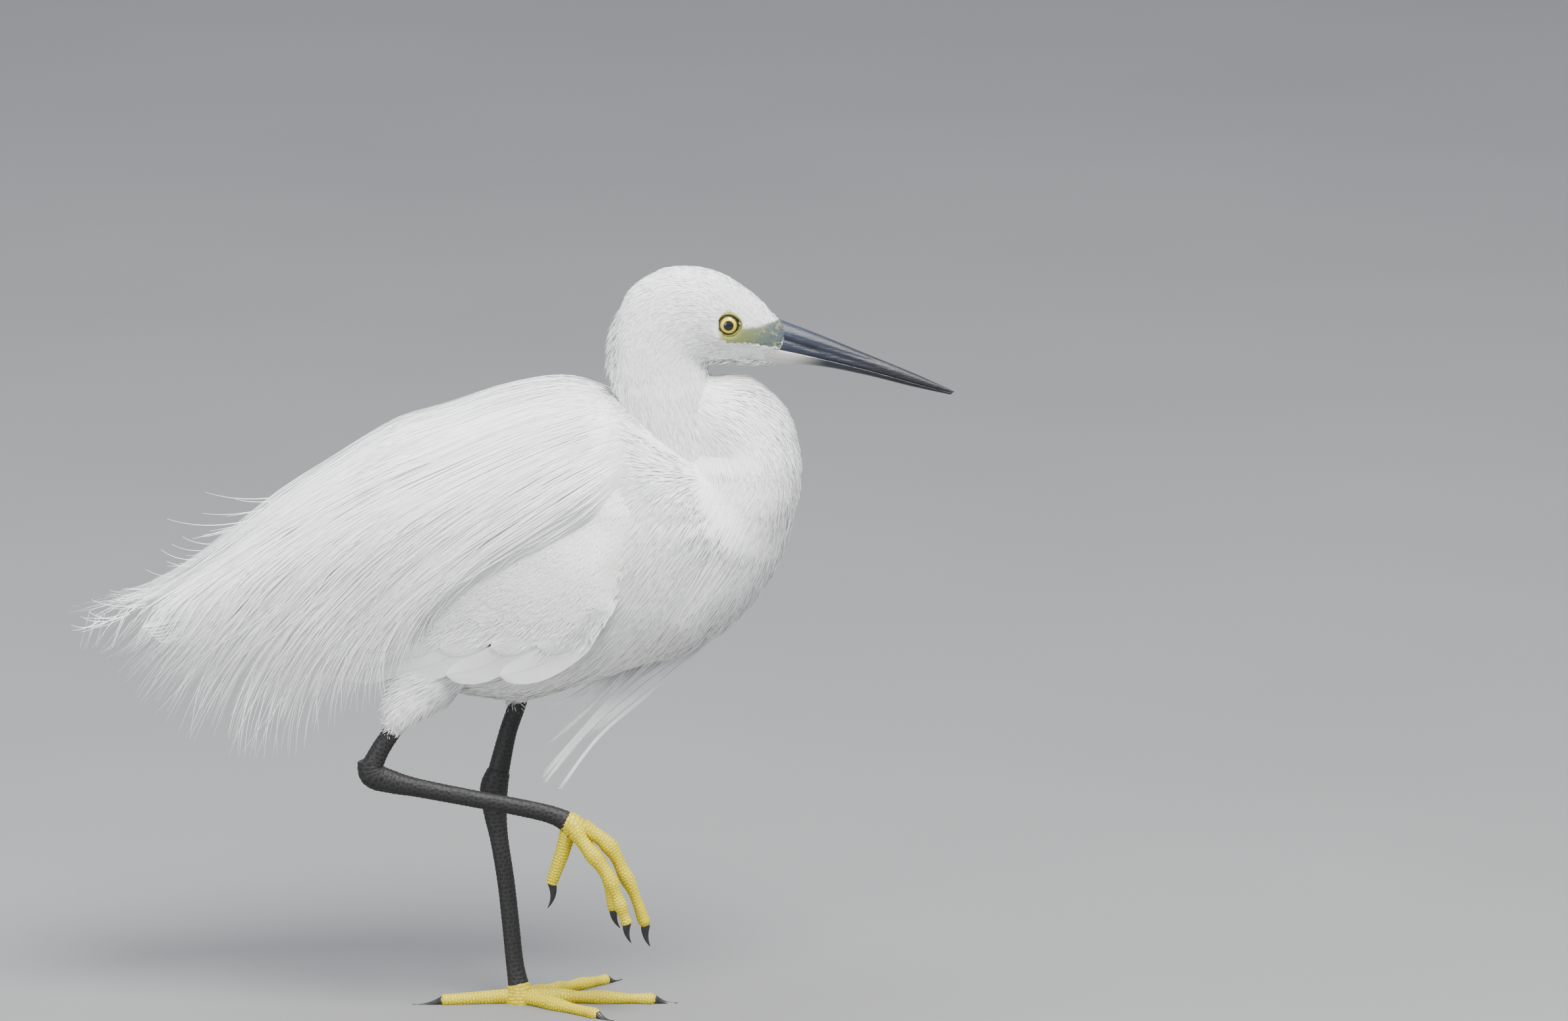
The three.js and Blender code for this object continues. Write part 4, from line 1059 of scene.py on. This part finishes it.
def guide_place(f, s):
    """The side-view place at share s along the guide at f, and how far it lifts."""
    row = along(GUIDES, np.clip(f / RIDGE_SHARE, 0, 1))
    start, way0, tip, way1, lift = row[..., 0:2], row[..., 2:4], row[..., 4:6], row[..., 6:8], row[..., 8]
    reach = np.linalg.norm(tip - start, axis=-1)[..., None]
    past, before = np.maximum(s - 1, 0)[..., None], np.minimum(s, 0)[..., None]
    t = np.clip(s, 0, 1)[..., None]
    place = (start * (2 * t**3 - 3 * t**2 + 1) + tip * (3 * t**2 - 2 * t**3)
             + reach * (way0 * (t**3 - 2 * t**2 + t) + way1 * (t**3 - t**2)))
    place = place + reach * (past * way1 + before * way0)
    over = np.clip((f - RIDGE_SHARE) / (1 - RIDGE_SHARE), 0, 1)
    place = mix(place, ridge_place(s), over[..., None])
    return place, mix(lift, RIDGE_LIFT, over) * np.clip(s, 0, 1.2) ** 3


def plume_top(place, where, s, f):
    """How high the plumes' top lies: it rises from the coat where they begin, and from the wing in front."""
    low = np.minimum(wing_surface(place, where) + 0.1, wing_top(place, where))
    full = mix(low, wing_top(place, where) + 1.0, smooth_step(-0.01, 0.13, f))
    x = place[..., 0]
    flatter = 4.5 * smooth_step(-60, -25, x) * smooth_step(46, 24, x) * smooth_step(0.4, 1.1, where[5])
    return mix(-1.4, full - flatter, smooth_step(-0.06, mix(0.17, 0.11, smooth_step(0.45, 0.9, f)), s))


def plume_ribbons(name, side, f, spread, s0, s1, depth, width, stations, tones, sway=1.2, roll=0.3):
    """Strands along the guides from s0 to s1, drifting from f to f + spread."""
    count = len(f)
    g = np.linspace(0, 1, stations)[None, :]
    s = mix(s0[:, None], s1[:, None], g)
    drift = f[:, None] + spread[:, None] * g
    place, lift = guide_place(drift, s)
    phase = draw.uniform(0, 2 * np.pi, (count, 1))
    ahead, _ = guide_place(drift, s + 0.01)
    way = unit(ahead - place)
    aside = np.stack([way[..., 1], -way[..., 0]], axis=-1)
    place = place + aside * (sway * np.sin(phase + 3.1 * g) * g)[..., None]
    where = on_wrap(place[..., 0], place[..., 1])
    loose = smooth_step(-0.06, 0.15, s) * mix(1, 0.25, smooth_step(0.5, 1.2, where[5]))
    loose = loose * mix(0.15, 1, smooth_step(0, 0.15, drift))
    stand_off = (depth[:, None] + 0.4 * np.sin(phase * 2 + 4 * g)) * loose
    off = plume_top(place, where, s, drift) + stand_off + lift
    taper = np.minimum(0.5 + g / 0.3, 1) * pointed(g, 1.3)
    lay_ribbons(name, place, off, side, where, width, taper, tones, roll, 0.35)


def mantle_sheet(side, side_name):
    """The dense lower part of the plumes, under the strands: a thin closed sheet."""
    rows, columns = 44, 60
    f = np.linspace(0.0, 1, columns)[None, :]
    fringe = mix(0.36, 0.56, smooth_step(0, 0.3, f)) + 0.03 * np.sin(f * 57) + 0.02 * np.sin(f * 131 + 1)
    s = mix(-0.08, fringe, np.linspace(0, 1, rows)[:, None])
    place, lift = guide_place(np.broadcast_to(f, s.shape), s)
    where = on_wrap(place[..., 0], place[..., 1])
    top = plume_top(place, where, s, f) - 0.6 + lift
    outer = flank(place, top, side, where).reshape(-1, 3)
    inner = flank(place, top - 0.8, side, where).reshape(-1, 3)
    index = np.arange(rows * columns).reshape(rows, columns)
    quads = grid_quads(index)
    border = np.concatenate([index[0, :-1], index[:-1, -1], index[-1, :0:-1], index[:0:-1, 0]])
    after = np.roll(border, -1)
    n = rows * columns
    rim = np.stack([border, border + n, after + n, after], axis=-1)
    unwrap = np.concatenate([wrap_unwrap(place.reshape(-1, 2), side)] * 2)
    tone = np.full(2 * n, 0.5)
    piece(f"mantle_{side_name}", np.concatenate([outer, inner]), [quads, quads[:, ::-1] + n, rim], FEATHER,
          uv=unwrap, attributes=[("tone", tone)], replaces=(f"plumes_back_{side_name}",))


def strand_ends(f):
    """How far along their guides the strands end: few of them come near the tips."""
    full = np.minimum(mix(0.76, 0.86, smooth_step(0.45, 0.75, f)) + draw.exponential(0.06, len(f)), 1.01)
    short = draw.normal(0.8, 0.05, len(f))
    return np.where(draw.random(len(f)) < 0.9 * smooth_step(0.68, 0.86, f), short, full)


def build_plumes(side, side_name):
    mantle_sheet(side, side_name)
    # Broad soft locks over the mantle
    count = 2200
    f = draw.random(count)
    s0 = draw.uniform(0.1, 0.5, count)
    s1 = np.minimum(s0 + draw.uniform(0.2, 0.4, count), draw.uniform(0.6, 0.78, count))
    plume_ribbons(f"plume_locks_{side_name}", side, f, draw.normal(0, 0.012, count), s0, s1,
                  draw.uniform(-0.4, 0.8, count), draw.uniform(1.2, 2.4, count), 10, (0.4, 0.75))
    # Fine short feathers over the shoulders and the front of the mantle
    count = 16000
    f = draw.random(count)
    s0 = draw.beta(0.8, 2.0, count) * 0.6 - 0.07
    plume_ribbons(f"plume_down_{side_name}", side, f, draw.normal(0, 0.008, count), s0,
                  s0 + draw.uniform(0.05, 0.10, count), draw.uniform(0.2, 1.2, count),
                  draw.uniform(0.55, 0.95, count), 4, (0.4, 0.8), sway=0.2, roll=0.2)
    # Hair-fine plumes, gathered into clumps that part towards their tips
    for layer, (low, high) in enumerate(((-0.6, 1.6), (0.8, 3.4))):
        count = 5400
        clumps = np.sort(draw.random(64))
        f = draw.random(count)
        nearest = clumps[np.abs(f[:, None] - clumps[None, :]).argmin(axis=1)]
        spread = (nearest - f) * draw.uniform(0.3, 0.95, count) + draw.normal(0, 0.010, count)
        s0 = draw.beta(1.3, 1.4, count) * 0.60
        s1 = np.minimum(s0 + draw.uniform(0.35, 0.65, count), strand_ends(f))
        plume_ribbons(f"plumes_fine_{side_name}_{layer + 1}", side, f, spread, s0, np.maximum(s1, s0 + 0.1),
                      draw.uniform(low, high, count), draw.uniform(0.34, 0.55, count), 11, (0.4, 1.0))
    # Loose strands that stray from the rest
    count = 420
    f = draw.random(count)
    s0 = draw.uniform(0.3, 0.7, count)
    plume_ribbons(f"plumes_loose_{side_name}", side, f, draw.normal(0, 0.04, count), s0,
                  np.minimum(s0 + draw.uniform(0.25, 0.45, count), 1.03), draw.uniform(2, 5, count),
                  draw.uniform(0.3, 0.42, count), 14, (0.6, 1.0), sway=3)


# Wisps behind the back: share along the ridge, heading in degrees and its turn along the wisp, length, and
# how many
WISPS = (
    (0.66, 197, -26, 50, 5), (0.70, 203, -8, 44, 5), (0.74, 214, -44, 36, 6), (0.79, 208, -34, 30, 5),
    (0.86, 197, -30, 40, 8), (0.90, 194, -30, 31, 6), (0.94, 200, -40, 25, 5), (0.97, 210, -34, 21, 5),
)
# No wisp goes further back than this x
REARMOST = -200


def rear_wisps():
    """Loose plumes that leave the ridge of the back one by one and curl up at their ends."""
    stations = 16
    g = np.linspace(0, 1, stations)[None, :]
    rows = np.concatenate([np.tile(row[:4], (row[4], 1)) for row in WISPS])
    count = len(rows)
    s, heading, turn, length = rows.T
    middle, up, h, _ = rib_at(WRAP, mix(RIDGE_SPAN[0], RIDGE_SPAN[1], s + draw.normal(0, 0.012, count)))
    start = middle + up * (h + 1)[:, None]
    angle = np.radians(heading + draw.normal(0, 5, count))[:, None]
    angle = angle + np.radians(turn * draw.uniform(0.3, 1.6, count))[:, None] * g**1.5
    step = (length * draw.uniform(0.55, 1.0, count) / (stations - 1))[:, None, None]
    moves = np.stack([np.cos(angle), np.sin(angle)], axis=-1) * step
    reach = np.cumsum(moves, axis=1)
    reach = reach * np.clip((start[:, 0] - REARMOST) / -reach[:, -1, 0], 0, 1)[:, None, None]
    place = start[:, None] + reach
    side = np.sign(draw.normal(0, 1, count))[:, None]
    y = side * (2.5 + 2 * draw.random((count, 1))) + draw.normal(0, 4, (count, 1)) * g
    path = xyz(place[..., 0], y, place[..., 1])
    tangent = unit(np.gradient(path, axis=1))
    out = np.broadcast_to(unit(np.array([0, -0.7, 0.7])), path.shape)
    across = unit(np.cross(out, tangent))
    width = draw.uniform(0.4, 0.6, count)[:, None] / 2 * (1 - 0.85 * g)
    ribbon_mesh("wisps_rear", path, across, width, np.tile([0.84, 0.55], (count, 1)), (0.6, 1.0), PLUME, (),
                out, 0.3)


# Breast plumes: guides in the side view, from the foremost to the hairs along the belly, from root to tip
BREAST_GUIDES = np.array([
    [[121, 214], [109.5, 193], [97.5, 179.5], [79, 161.5], [58, 142], [36.5, 123], [19, 98.7]],
    [[113, 222], [101, 203], [88, 184], [72, 162.5], [53, 147.5], [31, 127], [11.5, 101.9]],
    [[103, 228], [90, 205], [74, 181], [60, 159], [44, 142.5], [27.7, 124.6], [10.8, 104.5]],
    [[92, 230], [79, 205], [66, 181], [54.5, 165], [41, 147.5], [27, 133.5], [10.7, 119.7]],
    [[80, 224], [71, 200], [62, 180], [52, 163], [38, 152], [26, 144.5], [14.3, 138.8]],
    [[68, 217], [63, 195], [58, 178], [50.5, 168], [41, 161], [32, 154.6], [24.9, 148.1]],
])
# The plumes that the strands gather in: place among the guides, where it ends, and its number of strands
BREAST_PLUMES = np.array([
    [0.0, 1.0, 60], [0.05, 0.62, 40], [0.11, 0.84, 50], [0.20, 1.0, 60], [0.26, 0.9, 36], [0.34, 0.68, 30],
    [0.41, 1.0, 50], [0.50, 0.64, 20], [0.58, 0.98, 18], [0.68, 0.8, 10], [0.76, 1.0, 12], [0.86, 0.74, 6],
    [0.95, 1.0, 8],
])
# Steps of the grid along and across the breast guides
GUIDE_STEPS = 60
# The grid of side-view places at which the body's width is measured
MAP_STEP = 2.0
MAP_CORNER = np.array([4.0, 94.0])
MAP_SHAPE = (64, 86)
RAY_START = 200


def guide_grid(guides):
    """Places at equal shares along (rows) and across (columns) a fan of guides."""
    guide_count, stations, _ = guides.shape
    lines = GUIDE_STEPS + 1
    fan = through(guides.reshape(guide_count, -1), np.linspace(0, guide_count - 1, lines))
    fan = fan.reshape(lines, stations, 2).swapaxes(0, 1).reshape(stations, -1)
    return through(fan, np.linspace(0, stations - 1, lines)).reshape(lines, lines, 2)


def between(grid, a, b):
    """The grid's value at row a and column b, which need not be whole numbers."""
    i = np.clip(np.floor(a).astype(int), 0, grid.shape[0] - 2)
    j = np.clip(np.floor(b).astype(int), 0, grid.shape[1] - 2)
    u, v = np.clip(a - i, 0, 1)[..., None], np.clip(b - j, 0, 1)[..., None]
    return mix(mix(grid[i, j], grid[i + 1, j], u), mix(grid[i, j + 1], grid[i + 1, j + 1], u), v)


def width_map():
    """Half the body's width and its slopes over a grid of side-view places, from rays across the skin."""
    tree = BVHTree.FromPolygons(skin_points.tolist(), skin_quads.tolist() + skin_triangles.tolist())
    width = np.zeros(MAP_SHAPE)
    for i in range(MAP_SHAPE[0]):
        for j in range(MAP_SHAPE[1]):
            x, z = MAP_CORNER + MAP_STEP * np.array([i, j])
            hit = tree.ray_cast(Vector((x, RAY_START, z)), Vector((0, -1, 0)))[0]
            width[i, j] = max(hit.y, 0) if hit else 0
    slope_x, slope_z = np.gradient(width, MAP_STEP)
    return np.stack([width, slope_x, slope_z], axis=-1)


BREAST_GRID = guide_grid(BREAST_GUIDES)
WIDTH_MAP = width_map()


def breast_strands(name, side, f, f_end, s0, s1, depth, width, stations, tones, replaces=()):
    """Strands along the breast guides, over the skin and then free, drawn together from f to f_end."""
    g = np.linspace(0, 1, stations)[None, :]
    s = mix(s0[:, None], s1[:, None], g)
    drift = mix(f[:, None], f_end[:, None], smooth_step(0.12, 0.5, s))
    place = between(BREAST_GRID, s * GUIDE_STEPS, drift * GUIDE_STEPS)
    spot = (place - MAP_CORNER) / MAP_STEP
    body, slope_x, slope_z = np.moveaxis(between(WIDTH_MAP, spot[..., 0], spot[..., 1]), -1, 0)
    near = between(WIDTH_MAP, spot[:, 0, 0], spot[:, 0, 1])[:, :1]
    free = near * (1 - smooth_step(0.12, 0.6, s)) + 0.6 + 0.03 * f[:, None] * near
    y = np.maximum(body, free)
    for _ in range(3):
        y[:, 1:-1] = (y[:, :-2] + 2 * y[:, 1:-1] + y[:, 2:]) / 4
    airborne = smooth_step(0.3, 0.5, s)
    out = unit(np.stack([-slope_x, np.ones(y.shape), -slope_z], axis=-1))
    out = unit(mix(out, np.array([0.25, 0.75, 0.6]), airborne[..., None]))
    path = xyz(place[..., 0], y, place[..., 1])
    path = path + out * (mix(-1.3, depth[:, None], np.minimum(g / 0.25, 1)) * (1 - airborne))[..., None]
    mirror = np.stack([np.ones(len(f)), side, np.ones(len(f))], axis=-1)[:, None]
    path, out = path * mirror, out * mirror
    across, _ = rolled(path, out, 0.25)
    taper = mix(0.5, 1, np.minimum(g / 0.2, 1)) * pointed(g, 1.4)
    unwrap = np.stack([0.86 + 0.11 * s0, 0.5 + side * (0.04 + 0.4 * f)], axis=-1)
    ribbon_mesh(name, path, across, width[:, None] / 2 * taper, unwrap, tones, PLUME, replaces, out, 0.4)


def build_breast_plumes():
    # Strands all over the breast, each drawn to the plume next to it
    count = 7000
    f = np.where(draw.random(count) < 0.4, 0.2 * draw.random(count) ** 2, draw.random(count))
    side = np.sign(draw.normal(0, 1, count))
    nearest = np.abs(f[:, None] - BREAST_PLUMES[:, 0]).argmin(axis=1)
    middle, tip, _ = BREAST_PLUMES[nearest].T
    s0 = draw.uniform(0.0, 0.3, count) + 0.22 * smooth_step(0.35, 0.8, f)
    s1 = np.minimum(s0 + draw.uniform(0.15, 0.4, count), tip - 0.05)
    breast_strands("breast_strands", side, f, middle + draw.normal(0, 0.014, count), s0, s1,
                   draw.uniform(0.2, 1.3, count), draw.uniform(0.45, 0.85, count), 12, (0.6, 1.0))
    # The long narrow plumes, which part below the breast
    rows = np.concatenate([np.tile(plume, (2 * int(plume[2]), 1)) for plume in BREAST_PLUMES])
    count = len(rows)
    side = np.sign(draw.normal(0, 1, count))
    middle, tip, strands = rows.T
    spread = 0.009 + 0.00016 * strands
    s1 = tip * (1 - np.abs(draw.normal(0, 0.09, count)))
    breast_strands("breast_plumes", side, np.abs(middle + draw.normal(0, 0.03, count)),
                   middle + draw.normal(0, 1, count) * spread,
                   draw.uniform(0.05, 0.3, count) + 0.2 * smooth_step(0.35, 0.8, middle), s1,
                   draw.uniform(0.8, 1.8, count), draw.uniform(0.38, 0.6, count), 18, (0.75, 1.0),
                   ("plumes_breast",))
    # Hairs between the plumes and the belly
    count = 150
    f = draw.uniform(0.1, 1, count)
    breast_strands("breast_hairs", np.sign(draw.normal(0, 1, count)), f, f + draw.normal(0, 0.05, count),
                   draw.uniform(0.15, 0.45, count), draw.uniform(0.6, 0.95, count),
                   draw.uniform(0.4, 1.2, count), draw.uniform(0.26, 0.36, count), 14, (0.6, 1.0))


build_wing(RIGHT, "right")
build_wing(LEFT, "left")
build_tail()
build_plumes(RIGHT, "right")
build_plumes(LEFT, "left")
rear_wisps()
build_breast_plumes()


# Bill
HORN = horn_material()
# The gap between the mandibles
GAP = 0.3
# The nostril slit's line: x and z of its rear end, and how it falls
NOSTRIL_X, NOSTRIL_Z, NOSTRIL_FALL = 118, 307.4, 0.315


def mandible(name, edge, roof, replaces):
    stations, around = 90, 33
    f = np.linspace(0, 1, stations)[:, None]
    g = np.linspace(0, 1, around)[None, :]
    mouth, rim, width = along(MOUTH, f), along(edge, f), along(BILL_WIDTH, f)[..., 0]
    rise = np.sin(np.pi * g) ** 0.85
    x = mix(mouth[..., 0], rim[..., 0], rise)
    z = mix(mouth[..., 1], rim[..., 1], rise) + roof * GAP / 2
    y = width * np.cos(np.pi * g)
    groove_shade = np.zeros(x.shape)
    if roof > 0:
        # A groove runs forward from the nostril slit, and a fainter one above it; the slit and the lower
        # groove also get painted shade
        side_face = smooth_step(0.2, 1.0, np.abs(y))
        line = NOSTRIL_Z - (x - NOSTRIL_X) * NOSTRIL_FALL
        run = smooth_step(113, 119, x) * (1 - smooth_step(140, 166, x))
        slit = smooth_step(116, 119, x) * (1 - smooth_step(131, 137, x))
        upper = smooth_step(118, 124, x) * (1 - smooth_step(150, 175, x))
        # Painted shade: a mask that darkens the colour along the slit and the lower groove, over the ditch
        # cut below
        groove_shade = slit * np.exp(-((z - line) / 0.55) ** 2) + 0.5 * run * np.exp(-((z - line) / 0.4) ** 2)
        groove_shade = groove_shade * side_face
        ditch = 0.5 * run * np.exp(-((z - line) / 0.8) ** 2) + 1.2 * slit * np.exp(-((z - line) / 0.45) ** 2)
        ditch = ditch + 0.3 * upper * np.exp(-((z - line - 2.2) / 0.5) ** 2)
        y = y - np.sign(y) * ditch * side_face
    pale = np.zeros(x.shape)
    if roof < 0:
        pale = (1 - smooth_step(120, 139, x)) * (0.55 + 0.45 * smooth_step(0.3, 0.9, np.abs(y)))
    points = xyz(x, y, z)
    quads, ends = tube_faces(stations, around)
    piece(name, points, [quads, ends], HORN, attributes=[("pale", pale), ("groove_shade", groove_shade)],
          replaces=replaces)


mandible("bill_upper_horn", CULMEN, 1, ("bill_upper",))
mandible("bill_lower_horn", GONYS, -1, ("bill_lower",))


# Eyes: the iris attribute is the distance from the eye's axis as a share of the dark rim's radius
IRIS_EDGE = 4.7
LID_RADIUS = 5.0
LID_STATIONS, LID_SIDES = 72, 14


def build_eye(side, side_name):
    rings, sides = 40, 48
    polar = np.linspace(0.02, np.pi - 0.02, rings)[:, None]
    turn = 2 * np.pi * np.arange(sides)[None, :] / sides
    out = xyz(np.sin(polar) * np.cos(turn), side * (np.cos(polar) + 0 * turn), np.sin(polar) * np.sin(turn))
    centre = np.array([EYE_PLACE[0], side * EYE_PLACE[1], EYE_PLACE[2]])
    radius = EYE_RADIUS * np.sin(polar) + 0 * turn
    front = np.cos(polar) + 0 * turn > 0
    iris = np.where(front, radius / IRIS_EDGE, 1.0)
    quads, ends = tube_faces(rings, sides)
    piece(f"eyeball_{side_name}", centre + EYE_RADIUS * out, [quads, ends], eye_material(),
          attributes=[("iris", iris)], replaces=(f"eye_{side_name}",))
    around = 2 * np.pi * np.arange(LID_STATIONS)[:, None] / LID_STATIONS
    tube = 2 * np.pi * np.arange(LID_SIDES)[None, :] / LID_SIDES
    reach = LID_RADIUS + 0.75 * np.clip(np.cos(around), 0, 1) ** 6 + 0.2 * np.clip(-np.cos(around), 0, 1) ** 8
    thick = 0.52 + 0.1 * np.sin(around) ** 2
    r = reach + thick * np.cos(tube)
    points = xyz(centre[0] + r * np.cos(around),
                 centre[1] + side * (2.5 + thick * 1.2 * np.sin(tube) - 0.5 * (reach - LID_RADIUS)),
                 centre[2] + r * np.sin(around))
    index = np.arange(LID_STATIONS * LID_SIDES).reshape(LID_STATIONS, LID_SIDES)
    piece(f"eyelid_{side_name}", points, [grid_quads(np.pad(index, ((0, 1), (0, 1)), mode="wrap"))],
          lid_material())


build_eye(RIGHT, "right")
build_eye(LEFT, "left")

# Legs and feet
LEG = leg_material()
FOOT = foot_material()
CLAW = claw_material()
CLAW_STATIONS, CLAW_SIDES = 30, 20
# How many scales go round a leg or toe, and how much the furrows between them show
SCALES_AROUND = 11
FURROW = 0.8


def scaly(name, rows, across, material, replaces, scale, relief, stations, sides, floor):
    """A limb with raised scales in staggered rows, each as long as scale says."""
    points, out, angle = limb(rows, across, stations, sides)
    middle = points.mean(axis=1)
    run = np.concatenate([[0], np.cumsum(np.linalg.norm(np.diff(middle, axis=0), axis=1))])[:, None]
    warp = 0.16 * np.sin(angle * 3 + run * 0.7) + 0.1 * np.sin(angle * 7 - run * 1.3)
    u = run / scale + warp
    row = np.floor(u)
    v = angle[None, :] / (2 * np.pi) * SCALES_AROUND + 0.5 * (row % 2) + 0.15 * np.sin(row * 2.4)
    fu, fv = u - row, v - np.floor(v)
    border = np.minimum(np.minimum(fu, 1 - fu) * scale, np.minimum(fv, 1 - fv) * 2.2)
    edge = 1 - smooth_step(0.12, 0.5, border)
    points = points + out * ((0.5 - edge) * relief)[..., None]
    if floor:
        points[..., 2] = np.maximum(points[..., 2], 0)
    quads, ends = tube_faces(stations, sides)
    piece(name, points, [quads, ends], material, attributes=[("edge", edge * FURROW)],
          replaces=replaces)


def toe_rows(line, bones, thick):
    f = np.linspace(0, 1, 4 * (bones + 4) + 1)
    swell = 0.11 * np.cos(2 * np.pi * f * bones) if bones > 1 else 0 * f
    tip_round = np.where(f > 0.93, np.sqrt(np.clip(1 - ((f - 0.93) / 0.075) ** 2, 0.05, 1)), 1.0)
    radius = thick * (mix(1.08, 0.74, f) + swell) * tip_round
    return np.concatenate([along(line, f), radius[:, None], radius[:, None]], axis=1)


def claw_rows(end, tip, across, thick, lift):
    end, tip = np.asarray(end, float), np.asarray(tip, float)
    f = np.linspace(0, 1, 12)[:, None]
    up = -np.cross(unit(tip - end), across) * lift
    place = mix(end - (tip - end) * 0.12, tip, f) + up * 4 * f * (1 - f)
    radius = thick * (1 - 0.93 * f**1.3)
    return np.concatenate([place, radius, 0.8 * radius], axis=1)


# The yellow sole under each tarsus: x, y, z, half depth, half width
PALM = {
    LEFT: [[-0.2, 0, 9.5, 4.4, 4.0], [-0.1, 0, 7, 5.3, 5.0], [0, 0, 3, 6.5, 6.1], [0, 0, 0, 6.7, 6.3]],
    RIGHT: [[21, -24.1, 90.6, 4.4, 4.0], [24, -24, 88.8, 5.3, 5.3], [27, -23.9, 85.6, 5.2, 5.6],
            [29, -23.9, 82.4, 3.4, 4.2]],
}


def build_leg(side, side_name):
    standing = side == LEFT
    scaly(f"shin_{side_name}", TIBIA[side], SIDEWAYS, LEG, (f"tibia_{side_name}",),
          scale=1.9, relief=0.14, stations=160, sides=66, floor=False)
    scaly(f"shank_{side_name}", TARSUS[side], SIDEWAYS, LEG, (f"tarsus_{side_name}",),
          scale=2.0, relief=0.15, stations=340, sides=66, floor=standing)
    scaly(f"palm_{side_name}", PALM[side], SIDEWAYS, FOOT, (),
          scale=1.5, relief=0.16, stations=60, sides=54, floor=standing)
    for toe_name, sizes in TOES.items():
        thick = sizes["thick"]
        if standing:
            turn = math.radians(sizes["turn"])
            way = np.array([math.cos(turn), math.sin(turn), 0])
            line = [list(way[:2] * sizes["length"] * f) + [thick * mix(1.08, 0.72, f) - SOLE_SINK]
                    for f in (0.0, 0.3, 0.6, 1)]
            across = np.array([-way[1], way[0], 0])
            tip = way * (sizes["length"] + sizes["claw"]) + np.array([0, 0, 0.35])
            lift = 1.4
        else:
            line, tip = LIFTED_TOES[toe_name]
            across = np.array([0.0, 1, 0])
            lift = -1.6 if toe_name == "hind" else 1.0
        scaly(f"digit_{side_name}_{toe_name}", toe_rows(line, sizes["bones"], thick), across, FOOT,
              (f"toe_{side_name}_{toe_name}",),
              scale=1.35, relief=0.17, stations=210, sides=54, floor=standing)
        rows = claw_rows(line[-1], tip, across, thick * 0.6, lift)
        points, _, _ = limb(rows, across, CLAW_STATIONS, CLAW_SIDES)
        if standing:
            points[..., 2] = np.maximum(points[..., 2], 0)
        quads, ends = tube_faces(CLAW_STATIONS, CLAW_SIDES)
        piece(f"nail_{side_name}_{toe_name}", points, [quads, ends], CLAW,
              replaces=(f"claw_{side_name}_{toe_name}",))


build_leg(LEFT, "left")
build_leg(RIGHT, "right")


# Floor, light and camera
def build_floor():
    made, tree, shader = material("floor_paint", 0.75)
    soft = noise(tree, object_coordinates(tree), 3, 3)
    tree.links.new(ramp(tree, soft, [(0.3, (0.20, 0.198, 0.195)), (0.7, (0.215, 0.213, 0.21))]),
                   shader.inputs["Base Color"])
    bpy.ops.mesh.primitive_plane_add(size=40, location=(0, 0, 0))
    floor = bpy.context.object
    floor.name = "floor"
    floor.data.materials.append(made)


def area_light(name, place, target, size, watts, colour):
    lamp = bpy.data.lights.new(name, "AREA")
    lamp.shape = "DISK"
    lamp.size = size
    lamp.energy = watts
    lamp.color = colour
    holder = bpy.data.objects.new(name, lamp)
    holder.location = place
    holder.rotation_euler = (Vector(target) - Vector(place)).to_track_quat("-Z", "Y").to_euler()
    bpy.context.scene.collection.objects.link(holder)


def build_lights():
    world = bpy.data.worlds.new("studio")
    world.use_nodes = True
    world.node_tree.nodes["Background"].inputs["Color"].default_value = (0.80, 0.86, 0.95, 1)
    world.node_tree.nodes["Background"].inputs["Strength"].default_value = 1.0
    bpy.context.scene.world = world
    middle = (0, 0, 0.2)
    area_light("key", (0.5, -0.9, 2.0), middle, 1.1, 104, (1.0, 0.985, 0.96))
    area_light("sky", (-0.6, 0.3, 2.2), middle, 1.8, 40, (0.9, 0.95, 1.0))
    area_light("fill", (-1.4, -1.8, 0.7), middle, 1.6, 26, (1.0, 0.98, 0.95))


# The photo is 2380 pixels wide, of 0.295 mm at the bird, seen from 13 degrees above
PHOTO_WIDTH_PX = 2380
MM_PER_PX = 0.295
VIEW_DISTANCE = 6000
VIEW_CENTRE = (119.5, 0, 227.6)
VIEW_ELEVATION = math.radians(13)
SENSOR_MM = 36


def build_camera():
    lens = bpy.data.cameras.new("camera")
    lens.sensor_width = SENSOR_MM
    lens.lens = SENSOR_MM * VIEW_DISTANCE / (PHOTO_WIDTH_PX * MM_PER_PX)
    lens.clip_start = 0.1
    lens.clip_end = 1000
    camera = bpy.data.objects.new("camera", lens)
    centre = Vector(VIEW_CENTRE) * MM
    back = Vector((0, -math.cos(VIEW_ELEVATION), math.sin(VIEW_ELEVATION)))
    camera.location = centre + back * VIEW_DISTANCE * MM
    camera.rotation_euler = (-back).to_track_quat("-Z", "Y").to_euler()
    bpy.context.scene.collection.objects.link(camera)
    bpy.context.scene.camera = camera


build_floor()
build_lights()
build_camera()
